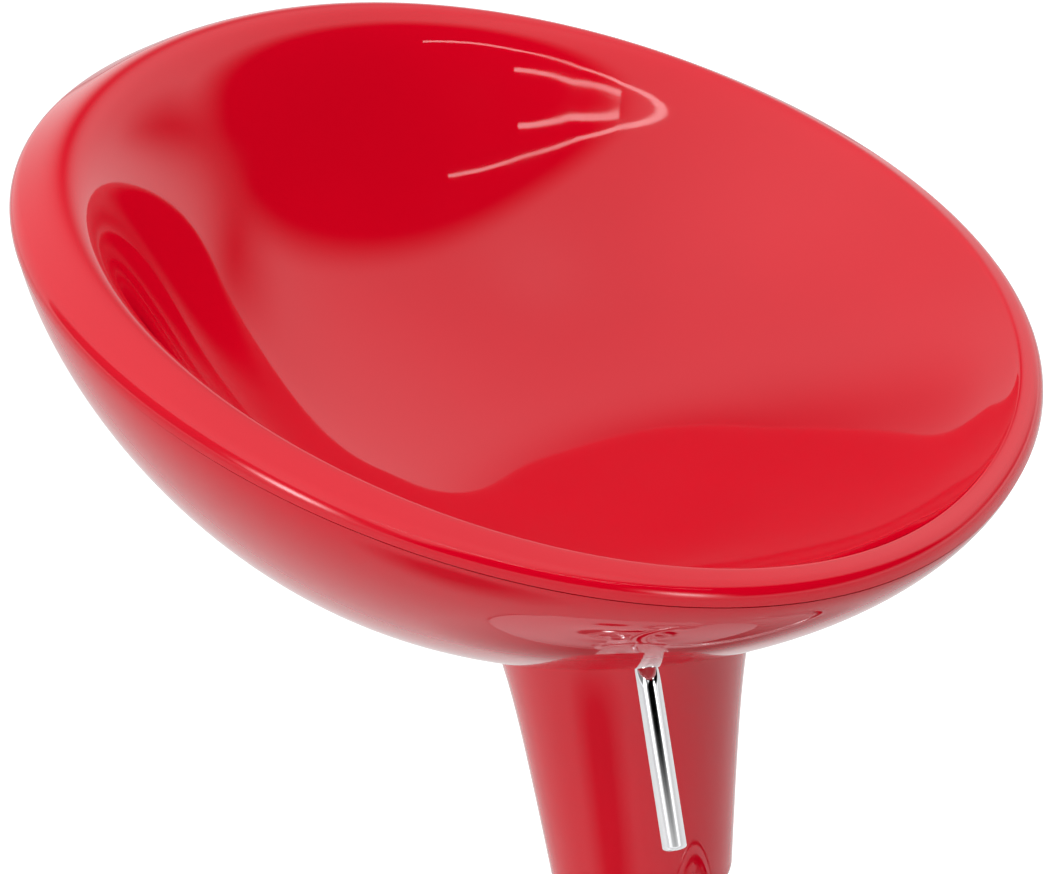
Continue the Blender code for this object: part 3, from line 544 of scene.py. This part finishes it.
# ---- lift and column ---------------------------------------------------------------------------------------
def gas_lift(look):
    """The plated cylinder that shows below the stem when the seat is up."""
    outline = rounded([
        (CYLINDER_BORE, CYLINDER_FOOT, 0), (CYLINDER_RADIUS, CYLINDER_FOOT, 0.8 * MM),
        (CYLINDER_RADIUS, CYLINDER_TAPER_FOOT, 0), (CYLINDER_TIP_RADIUS, CYLINDER_TOP, 0.5 * MM),
        (CYLINDER_BORE, CYLINDER_TOP, 0),
    ])
    piece("gas_tube", turned(outline), "seat", "chrome", look, "gas_cylinder")


def column(metal, plastic):
    """Fixed outer tube with an eased rim, and the guide bush in its top."""
    bore = TUBE_RADIUS - TUBE_WALL
    tube = rounded([
        (bore, TUBE_FOOT, 0), (TUBE_RADIUS, TUBE_FOOT, 0.6 * MM), (TUBE_RADIUS, TUBE_TOP, 0.9 * MM),
        (bore, TUBE_TOP, 0.6 * MM),
    ])
    piece("column", turned(tube), "base", "chrome", metal, "column_tube")
    slide = CYLINDER_RADIUS + 0.35 * MM
    bush = rounded([
        (slide, BUSH_FOOT, 1 * MM), (bore - GAP, BUSH_FOOT, 1 * MM), (bore - GAP, TUBE_TOP + GAP, 0),
        (TUBE_RADIUS, TUBE_TOP + GAP, 0.3 * MM), (TUBE_RADIUS, BUSH_TOP, 1.4 * MM),
        (slide, BUSH_TOP, 0.8 * MM),
    ], 6)
    piece("bush", turned(bush), "base", "black_plastic", plastic, "guide_bush")


# ---- foot --------------------------------------------------------------------------------------------------
def dish_line(count=90):
    """Outer line of the plated foot, from its neck out to its edge: a low crown with a trumpet flare."""
    start = math.asin(DISH_NECK / BASE_RADIUS)
    points = []
    for share in np.linspace(0, 1, count):
        turn = blend((start, math.pi / 2), share**1.5)
        reach = BASE_RADIUS * math.sin(turn)
        flare = DISH_FLARE * math.exp(-(reach - DISH_NECK) / DISH_FLARE_LENGTH)
        points.append((reach, DISH_EDGE_Z + DISH_CROWN * math.cos(turn) + flare))
    return points


def foot(metal, rubber):
    """Trumpet dish, the collar over its neck and the rubber ring under its edge."""
    outer = dish_line()
    inner = offset(outer, DISH_WALL)
    inner[0] = (DISH_NECK - DISH_WALL, outer[0][1])
    inner[-1] = (BASE_RADIUS - DISH_WALL, DISH_EDGE_Z)
    piece("foot_dish", turned(outer + inner[::-1], 192), "base", "chrome", metal, "base_dish")
    low, high = (corner.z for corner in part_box("base_collar"))
    bore = TUBE_RADIUS + GAP
    reach = DISH_NECK + 2 * MM
    collar = rounded([
        (bore, low, 0), (reach, low, 0.6 * MM), (reach, low + TRIM_LIP, 1.6 * MM),
        (bore + 1.8 * MM, high, 1.2 * MM), (bore, high, 0.3 * MM),
    ], 6)
    piece("foot_collar", turned(collar, 128), "base", "chrome", metal, "base_collar")
    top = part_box("base_floor_ring")[1].z
    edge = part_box("base_floor_ring")[1].x
    tread = [(FLOOR_RING_BORE, 0, 0.6 * MM)]
    for groove in range(1, GROOVES + 1):
        near = FLOOR_RING_BORE + groove * GROOVE_PITCH
        far = near + GROOVE_WIDTH
        tread += [(near, 0, 0), (near + GROOVE_SIDE, GROOVE_DEPTH, 0)]
        tread += [(far - GROOVE_SIDE, GROOVE_DEPTH, 0), (far, 0, 0)]
    tread += [(edge - 0.4 * MM, 0, 0.6 * MM), (edge, 1 * MM, 0.4 * MM), (edge, top, 0.3 * MM)]
    tread += [(FLOOR_RING_BORE, top, 0.5 * MM)]
    piece("tread_ring", turned(rounded(tread), 192), "base", "rubber", rubber, "base_floor_ring")


# ---- foot ring ---------------------------------------------------------------------------------------------
def bent(start, end, r_out, r_in, count, segments=36):
    """A bmesh round tube bent flat around the ring's centre, or a solid bar where r_in is 0."""
    shells = []
    for radius in (r_out, r_in)[: 2 if r_in else 1]:
        rings = []
        for turn in np.linspace(start, end, count):
            away = Vector((math.sin(turn), math.cos(turn), 0))
            point = RING_CENTRE + RING_RADIUS * away
            turns = np.linspace(0, math.tau, segments, endpoint=False)
            rings.append([point + radius * (math.cos(a) * away + Vector((0, 0, math.sin(a)))) for a in turns])
        shells.append(rings)
    if r_in:
        return skin(shells[0] + shells[1][::-1])
    ends = [RING_CENTRE + RING_RADIUS * Vector((math.sin(a), math.cos(a), 0)) for a in (start, end)]
    return skin(shells[0], ends)


def foot_ring(metal, steel):
    """Bent tube on a collar that two socket screws clamp to the column."""
    bore = RING_TUBE_RADIUS - RING_TUBE_WALL
    ring = bent(RING_GAP, math.tau - RING_GAP, RING_TUBE_RADIUS, bore, 140)
    piece("foot_ring", ring, "base", "chrome", metal, "footrest_ring")
    inside = TUBE_RADIUS - COLLAR_OVERLAP
    body = turned(rounded([
        (inside, RING_Z - COLLAR_HALF, 0), (COLLAR_RADIUS, RING_Z - COLLAR_HALF, 1.6 * MM),
        (COLLAR_RADIUS, RING_Z + COLLAR_HALF, 1.6 * MM), (inside, RING_Z + COLLAR_HALF, 0),
    ], 5))
    arms, spigots, holes = [], [], []
    seam = RING_GAP - GAP / RING_RADIUS
    for sign in (1, -1):
        arms.append(bent(sign * ARM_START, sign * seam, RING_TUBE_RADIUS, 0, 16))
        spigots.append(bent(*(sign * turn for turn in SPIGOT_SPAN), bore - SPIGOT_GAP, 0, 12))
    body = carved(body, *arms, *spigots, operation="UNION")
    low, high = (Vector((0, 0, RING_Z + end * 2 * COLLAR_HALF)) for end in (-1, 1))
    for i, turn in enumerate((math.pi - COLLAR_SCREW_TURN, math.pi + COLLAR_SCREW_TURN)):
        face = around(COLLAR_RADIUS + GAP, turn, RING_Z)
        outside = around(COLLAR_RADIUS + 4.5 * MM, turn, RING_Z)
        holes.append(bar(around(20 * MM, turn, RING_Z), outside, SCREW_HOLE_RADIUS))
        head = turned(rounded([
            (0, 0, 0), (SCREW_RADIUS, 0, 0), (SCREW_RADIUS, SCREW_SHANK, 0),
            (SCREW_HEAD_RADIUS, SCREW_SHANK, 0.2 * MM), (SCREW_HEAD_RADIUS, SCREW_TOP, 0.7 * MM),
            (0, SCREW_TOP, 0),
        ]), 48)
        socket = bar((0, 0, SOCKET_FOOT), (0, 0, 12 * MM), SOCKET_RADIUS, 6)
        screw = carved(head, socket)
        base = face - SCREW_SHANK * around(1, turn).normalized()
        aim = around(1, turn).to_track_quat("Z", "Y").to_matrix().to_4x4()
        screw.transform(Matrix.Translation(base) @ aim)
        name = f"collar_screw_{i + 1}"
        piece(f"ring_screw_{i + 1}", screw, "base", "steel", steel, name)
    body = carved(body, bar(low, high, TUBE_RADIUS + GAP, 96), *holes)
    piece("ring_collar", body, "base", "chrome", metal, "footrest_collar", smooth=30)


# ---- materials ---------------------------------------------------------------------------------------------
def start_look(name, colour, roughness, metallic=0.0, ior=1.5):
    """A new material with its Principled shader, and object coordinates to drive its textures."""
    made = bpy.data.materials.new(name)
    made.use_nodes = True
    shader = made.node_tree.nodes["Principled BSDF"]
    shader.inputs["Base Color"].default_value = (*colour, 1)
    shader.inputs["Roughness"].default_value = roughness
    shader.inputs["Metallic"].default_value = metallic
    shader.inputs["IOR"].default_value = ior
    return made, shader, made.node_tree.nodes.new("ShaderNodeTexCoord").outputs["Object"]


def noise(made, place, scale, detail=2.0, stretch=(1, 1, 1), rough=0.5):
    """Noise over the object, its coordinates stretched along the axes."""
    nodes, links = made.node_tree.nodes, made.node_tree.links
    mapping = nodes.new("ShaderNodeMapping")
    mapping.inputs["Scale"].default_value = stretch
    texture = nodes.new("ShaderNodeTexNoise")
    texture.inputs["Scale"].default_value = scale
    texture.inputs["Detail"].default_value = detail
    texture.inputs["Roughness"].default_value = rough
    links.new(place, mapping.inputs["Vector"])
    links.new(mapping.outputs["Vector"], texture.inputs["Vector"])
    return texture.outputs["Fac"]


def between(made, value, low, high, start=0.3, end=0.7):
    """A number that goes from low to high as the value goes from start to end."""
    node = made.node_tree.nodes.new("ShaderNodeMapRange")
    for socket, number in zip(("From Min", "From Max", "To Min", "To Max"), (start, end, low, high)):
        node.inputs[socket].default_value = number
    made.node_tree.links.new(value, node.inputs["Value"])
    return node.outputs["Result"]


def tint(made, value, *stops):
    """A colour read from (position, colour) stops."""
    ramp = made.node_tree.nodes.new("ShaderNodeValToRGB")
    while len(ramp.color_ramp.elements) < len(stops):
        ramp.color_ramp.elements.new(0.5)
    for element, (position, colour) in zip(ramp.color_ramp.elements, stops):
        element.position = position
        element.color = (*colour, 1)
    made.node_tree.links.new(value, ramp.inputs["Fac"])
    return ramp.outputs["Color"]


def wire(made, shader, **sockets):
    for name, value in sockets.items():
        made.node_tree.links.new(value, shader.inputs[name.replace("_", " ")])


def bump(made, shader, height, strength, distance):
    """Adds relief: strength from 0 to 1, and the relief's full height in metres."""
    node = made.node_tree.nodes.new("ShaderNodeBump")
    node.inputs["Strength"].default_value = strength
    node.inputs["Distance"].default_value = distance
    links = made.node_tree.links
    links.new(height, node.inputs["Height"])
    if shader.inputs["Normal"].is_linked:
        links.new(shader.inputs["Normal"].links[0].from_socket, node.inputs["Normal"])
    links.new(node.outputs["Normal"], shader.inputs["Normal"])


def red_gloss():
    """Moulded gloss plastic: slow colour drift from the melt, faint flow ripple and patchy hand polish."""
    made, shader, place = start_look("red_gloss", RED, 0.03)
    flow = noise(made, place, 7, 3)
    deep, bright = [(r * k, g * k, b * k) for k in (0.965, 1.03) for r, g, b in (RED,)]
    haze = noise(made, place, 60, 4)
    wire(made, shader, Base_Color=tint(made, flow, (0.3, deep), (0.7, bright)))
    wire(made, shader, Roughness=between(made, haze, 0.018, 0.045))
    bump(made, shader, noise(made, place, 55, 1), 0.25, 0.00002)
    bump(made, shader, noise(made, place, 900, 1), 0.15, 0.000004)
    return made


def chrome():
    """Plated steel: almost a mirror, with faint polishing haze and a slow waver."""
    made, shader, place = start_look("bright_chrome", (0.86, 0.87, 0.89), 0.04, 1.0)
    haze = noise(made, place, 90, 5, rough=0.65)
    wire(made, shader, Roughness=between(made, haze, 0.022, 0.075))
    wire(made, shader, Base_Color=tint(made, haze, (0.3, (0.84, 0.85, 0.87)), (0.7, (0.90, 0.90, 0.91))))
    bump(made, shader, noise(made, place, 40, 2), 0.15, 0.00003)
    return made


def turned_steel(name, colour, roughness, grain=(1, 1, 40)):
    """Machined metal: fine tool lines run round it, over a mottled tone."""
    made, shader, place = start_look(name, colour, roughness, 1.0)
    lines = noise(made, place, 120, 3, grain)
    mottle = noise(made, place, 70, 4)
    dark, light = [tuple(c * k for c in colour) for k in (0.86, 1.1)]
    wire(made, shader, Base_Color=tint(made, mottle, (0.3, dark), (0.7, light)))
    wire(made, shader, Roughness=between(made, lines, roughness * 0.75, roughness * 1.3))
    bump(made, shader, lines, 0.35, 0.00006)
    return made


def zinc():
    """Zinc plate: a pale metal with crystal patches that catch the light differently."""
    made, shader, place = start_look("zinc_plate", (0.62, 0.62, 0.60), 0.3, 1.0)
    cells = made.node_tree.nodes.new("ShaderNodeTexVoronoi")
    cells.inputs["Scale"].default_value = 260
    made.node_tree.links.new(place, cells.inputs["Vector"])
    patch = cells.outputs["Distance"]
    wire(made, shader, Base_Color=tint(made, patch, (0.1, (0.70, 0.70, 0.67)), (0.8, (0.50, 0.51, 0.51))))
    wire(made, shader, Roughness=between(made, patch, 0.22, 0.42, 0.0, 0.9))
    bump(made, shader, noise(made, place, 400, 2), 0.2, 0.00004)
    return made


def powder_coat():
    """Black painted steel: a fine even pebble, duller on its hollows."""
    made, shader, place = start_look("black_paint", (0.02, 0.02, 0.022), 0.35, 0.0)
    grain = noise(made, place, 700, 3)
    colour = tint(made, grain, (0.3, (0.014, 0.014, 0.016)), (0.7, (0.03, 0.03, 0.032)))
    wire(made, shader, Base_Color=colour)
    wire(made, shader, Roughness=between(made, grain, 0.5, 0.3))
    bump(made, shader, grain, 0.5, 0.0001)
    return made


def black_nylon():
    """Moulded nylon: fine spark texture with a dull sheen."""
    made, shader, place = start_look("black_nylon", (0.015, 0.015, 0.016), 0.45)
    grain = noise(made, place, 1500, 2)
    wear = noise(made, place, 60, 4)
    colour = tint(made, wear, (0.3, (0.012, 0.012, 0.013)), (0.7, (0.024, 0.024, 0.025)))
    wire(made, shader, Base_Color=colour)
    wire(made, shader, Roughness=between(made, grain, 0.36, 0.56))
    bump(made, shader, grain, 0.35, 0.00006)
    return made


def black_rubber():
    """Rubber: matt, dusty on its high spots."""
    made, shader, place = start_look("black_rubber", (0.02, 0.02, 0.02), 0.85)
    dust = noise(made, place, 35, 6, rough=0.7)
    colour = tint(made, dust, (0.35, (0.014, 0.014, 0.014)), (0.75, (0.055, 0.052, 0.05)))
    wire(made, shader, Base_Color=colour)
    wire(made, shader, Roughness=between(made, dust, 0.72, 0.95))
    bump(made, shader, noise(made, place, 900, 3), 0.4, 0.00008)
    return made


def plywood():
    """Plain plywood: layers across the edge, and long grain with darker streaks on the faces."""
    made, shader, place = start_look("pale_plywood", (0.62, 0.45, 0.27), 0.7)
    streaks = noise(made, place, 60, 6, (1, 9, 9), 0.6)
    dark, middle, pale = (0.50, 0.33, 0.18), (0.66, 0.48, 0.29), (0.74, 0.58, 0.38)
    grain = tint(made, streaks, (0.3, dark), (0.55, middle), (0.8, pale))
    wire(made, shader, Base_Color=grain, Roughness=between(made, streaks, 0.6, 0.85))
    bump(made, shader, streaks, 0.4, 0.0001)
    layers = made.node_tree.nodes.new("ShaderNodeTexWave")
    layers.bands_direction = "Z"
    layers.inputs["Scale"].default_value = 110
    layers.inputs["Distortion"].default_value = 0.4
    made.node_tree.links.new(place, layers.inputs["Vector"])
    bump(made, shader, layers.outputs["Fac"], 0.3, 0.0001)
    return made


MIX_SHARE, MIX_FIRST, MIX_SECOND, MIX_COLOUR = 0, 6, 7, 2  # places of a colour mix node's sockets


def pale_floor(name, shade, glow, painted_shadows=()):
    """Matt card, with soft painted shadows round these places: its colour darkens towards each one."""
    made, shader, place = start_look(name, (shade, shade, shade), 0.7)
    tone = noise(made, place, 3, 3)
    low, high = (shade * k for k in (0.99, 1.01))
    colour = tint(made, tone, (0.3, (low, low, low)), (0.7, (high, high, high)))
    nodes, links = made.node_tree.nodes, made.node_tree.links
    # painted shadow: each place darkens the card's colour towards it
    for painted_shadow in painted_shadows:
        away = nodes.new("ShaderNodeVectorMath")
        away.operation = "DISTANCE"
        away.inputs[1].default_value = painted_shadow
        links.new(place, away.inputs[0])
        mixed = nodes.new("ShaderNodeMix")
        mixed.data_type = "RGBA"
        mixed.inputs[MIX_FIRST].default_value = (PAINTED_SHADOW_SHADE, PAINTED_SHADOW_SHADE, PAINTED_SHADOW_SHADE, 1)
        links.new(between(made, away.outputs["Value"], 0, 1, *PAINTED_SHADOW_REACH), mixed.inputs[MIX_SHARE])
        links.new(colour, mixed.inputs[MIX_SECOND])
        colour = mixed.outputs[MIX_COLOUR]
    wire(made, shader, Base_Color=colour)
    shader.inputs["Emission Color"].default_value = (1, 1, 1, 1)
    shader.inputs["Emission Strength"].default_value = glow
    return made


# ---- studio ------------------------------------------------------------------------------------------------
def towards(azimuth, elevation):
    """Unit vector in this direction, for angles in radians."""
    flat = math.cos(elevation)
    return Vector((math.sin(azimuth) * flat, -math.cos(azimuth) * flat, math.sin(elevation)))


def camera():
    """Looks down on the seat from the sitter's right, tilted a little."""
    back = towards(CAMERA_AZIMUTH, CAMERA_ELEVATION)
    level = (-back).cross(Vector((0, 0, 1))).normalized()
    upright = level.cross(-back)
    right = math.cos(CAMERA_ROLL) * level + math.sin(CAMERA_ROLL) * upright
    up = math.cos(CAMERA_ROLL) * upright - math.sin(CAMERA_ROLL) * level
    forward = (-back - CAMERA_AIM[0] * right + CAMERA_AIM[1] * up).normalized()
    right = (right - right.dot(forward) * forward).normalized()
    up = right.cross(forward)
    data = bpy.data.cameras.new("camera")
    data.sensor_width = SENSOR
    data.lens = LENS
    obj = bpy.data.objects.new("camera", data)
    bpy.context.scene.collection.objects.link(obj)
    place = Vector((0, 0, SEAT_Z)) + CAMERA_DISTANCE * back
    obj.matrix_world = Matrix.Translation(place) @ Matrix((right, up, -forward)).transposed().to_4x4()
    bpy.context.scene.camera = obj


def floor():
    """A glowing white floor for the camera, over one card mirrored in the stool, with painted shadows under
    it, and one that lights it.
    """
    parts = (
        ("floor", FLOOR_SHADE, FLOOR_GLOW, ()), ("mirrored_card", MIRROR_SHADE, 0.0, MIRROR_PAINTED_SHADOWS),
        ("bounce_card", BOUNCE_SHADE, 0.0, ()),
    )
    for depth, (name, *look) in enumerate(parts):
        bm = bmesh.new()
        place = Matrix.Translation((0, 0, -CARD_STEP * depth))
        bmesh.ops.create_circle(bm, cap_ends=True, segments=64, radius=FLOOR_RADIUS, matrix=place)
        obj = plain_object(name, bm)
        obj.data.materials.append(pale_floor("pale_" + name, *look))
        obj.visible_camera = name == "floor"
        obj.visible_glossy = name == "mirrored_card"
        obj.visible_diffuse = name == "bounce_card"
        obj.visible_shadow = name == "bounce_card"


def sky():
    """Soft studio surroundings: a white tent with dark openings, and plain white where the camera looks."""
    world = bpy.data.worlds.new("studio")
    bpy.context.scene.world = world
    world.use_nodes = True
    nodes, links = world.node_tree.nodes, world.node_tree.links

    def math_node(operation, *values):
        node = nodes.new("ShaderNodeMath")
        node.operation = operation
        for socket, value in zip(node.inputs, values):
            if isinstance(value, (int, float)):
                socket.default_value = value
            else:
                links.new(value, socket)
        return node.outputs[0]

    def lobe(azimuth, elevation, width):
        """1 in this direction, fading out over this many degrees."""
        node = nodes.new("ShaderNodeVectorMath")
        node.operation = "DOT_PRODUCT"
        node.inputs[1].default_value = towards(math.radians(azimuth), math.radians(elevation))
        links.new(direction, node.inputs[0])
        away = math_node("SUBTRACT", node.outputs["Value"], 1)
        return math_node("EXPONENT", math_node("DIVIDE", away, 1 - math.cos(math.radians(width))))

    def patch(azimuth, elevation, half_width, half_height, softness, inside, outside):
        """One number inside this oval of directions and another outside."""
        aside = math_node("SUBTRACT", turn, math.radians(azimuth))
        above = math_node("SUBTRACT", rise, math.radians(elevation))
        across = math_node("DIVIDE", aside, math.radians(half_width))
        up = math_node("DIVIDE", above, math.radians(half_height))
        out = math_node("SQRT", math_node("ADD", math_node("POWER", across, 2), math_node("POWER", up, 2)))
        return soft_step(out, 1 - softness, 1 + softness, inside, outside)

    def soft_step(value, start, end, low=0.0, high=1.0):
        node = nodes.new("ShaderNodeMapRange")
        node.interpolation_type = "SMOOTHSTEP"
        for socket, number in zip(("From Min", "From Max", "To Min", "To Max"), (start, end, low, high)):
            node.inputs[socket].default_value = number
        links.new(value, node.inputs["Value"])
        return node.outputs["Result"]

    direction = nodes.new("ShaderNodeTexCoord").outputs["Generated"]
    axes = nodes.new("ShaderNodeSeparateXYZ")
    links.new(direction, axes.inputs[0])
    turn = math_node("ARCTAN2", axes.outputs["X"], math_node("MULTIPLY", axes.outputs["Y"], -1))
    rise = math_node("ARCSINE", axes.outputs["Z"])
    level = soft_step(rise, *HORIZON, FROM_BELOW, TENT)
    for *where, extra in LOBES:
        level = math_node("ADD", level, math_node("MULTIPLY", lobe(*where), extra))
    fade = soft_step(rise, *PATCH_FADE)
    for *where, darkness in DARK_PATCHES:
        shade = math_node("MULTIPLY", math_node("SUBTRACT", darkness, patch(*where, 0, darkness)), fade)
        level = math_node("MULTIPLY", level, math_node("SUBTRACT", 1, shade))
    for *where, extra in WINDOWS:
        level = math_node("ADD", level, math_node("MULTIPLY", lobe(*where), extra))
    level = math_node("MAXIMUM", level, 0)
    links.new(level, nodes["Background"].inputs["Strength"])
    nodes["Background"].inputs["Color"].default_value = (1, 1, 1, 1)
    plain = nodes.new("ShaderNodeBackground")
    choice = nodes.new("ShaderNodeMixShader")
    plain.inputs["Color"].default_value = (1, 1, 1, 1)
    links.new(nodes.new("ShaderNodeLightPath").outputs["Is Camera Ray"], choice.inputs[0])
    links.new(nodes["Background"].outputs[0], choice.inputs[1])
    links.new(plain.outputs[0], choice.inputs[2])
    links.new(choice.outputs[0], nodes["World Output"].inputs["Surface"])


def area_light(name, place, size, radiance, mirrored=True):
    """A rectangular light of this brightness, hidden from the camera, and from mirrors unless mirrored."""
    data = bpy.data.lights.new(name, "AREA")
    data.shape = "RECTANGLE"
    data.size, data.size_y = size
    data.energy = radiance * math.pi * size[0] * size[1]
    obj = bpy.data.objects.new(name, data)
    obj.matrix_world = place
    obj.visible_camera = False
    obj.visible_glossy = mirrored
    bpy.context.scene.collection.objects.link(obj)


def soft_light(name, place, target, size, radiance):
    """A light that only brightens, and isn't mirrored."""
    aim = (Vector(target) - Vector(place)).to_track_quat("-Z", "Y").to_matrix().to_4x4()
    area_light(name, Matrix.Translation(place) @ aim, size, radiance, mirrored=False)


def light_tube(name, stops):
    """A bent tube of light far in front of the seat, as straight pieces between its stops."""
    points = [SEAT_MIDDLE + LIGHT_DISTANCE * towards(*map(math.radians, stop)) for stop in stops]
    for count, (start, end) in enumerate(zip(points, points[1:])):
        middle = (start + end) / 2
        along = (end - start).normalized()
        across = (middle - SEAT_MIDDLE).cross(along).normalized()
        axes = Matrix((along, across, along.cross(across))).transposed().to_4x4()
        size = ((end - start).length, LIGHT_WIDTH)
        area_light(f"{name}_{count}", Matrix.Translation(middle) @ axes, size, LIGHT_RADIANCE)


def lights():
    """Soft light from high in front and from one side, and two thin tubes that draw lines in the bowl."""
    soft_light("overhead", OVERHEAD_PLACE, SEAT_MIDDLE, OVERHEAD_SIZE, OVERHEAD)
    soft_light("side_fill", FILL_PLACE, FILL_TARGET, FILL_SIZE, SIDE_FILL)
    for name, *stops in LIGHT_TUBES:
        light_tube(name, stops)


CAD_LOOKS = {
    "red_abs": red_gloss, "chrome": chrome, "zinc": zinc, "black_steel": powder_coat,
    "black_plastic": black_nylon, "rubber": black_rubber, "plywood": plywood,
    "steel": lambda: turned_steel("machined_steel", (0.42, 0.43, 0.45), 0.36),
    "brass": lambda: turned_steel("turned_brass", (0.72, 0.52, 0.22), 0.28),
}


def finish_cad_nodes(looks):
    """Gives every CAD node its slot's full material."""
    for part in frame["record"]["subparts"]:
        mesh = frame["nodes"][part["node"]].data
        mesh.materials.clear()
        mesh.materials.append(looks[part["material_slot"]])


camera()
looks = {slot_name: make() for slot_name, make in CAD_LOOKS.items()}
finish_cad_nodes(looks)
seat_shells(looks["red_abs"])
stem(looks["red_abs"])
lever(looks["chrome"])
gas_lift(looks["chrome"])
column(looks["chrome"], looks["black_plastic"])
foot(looks["chrome"], looks["rubber"])
foot_ring(looks["chrome"], looks["steel"])
floor()
sky()
lights()
bpy.context.scene.view_settings.view_transform = "Standard"
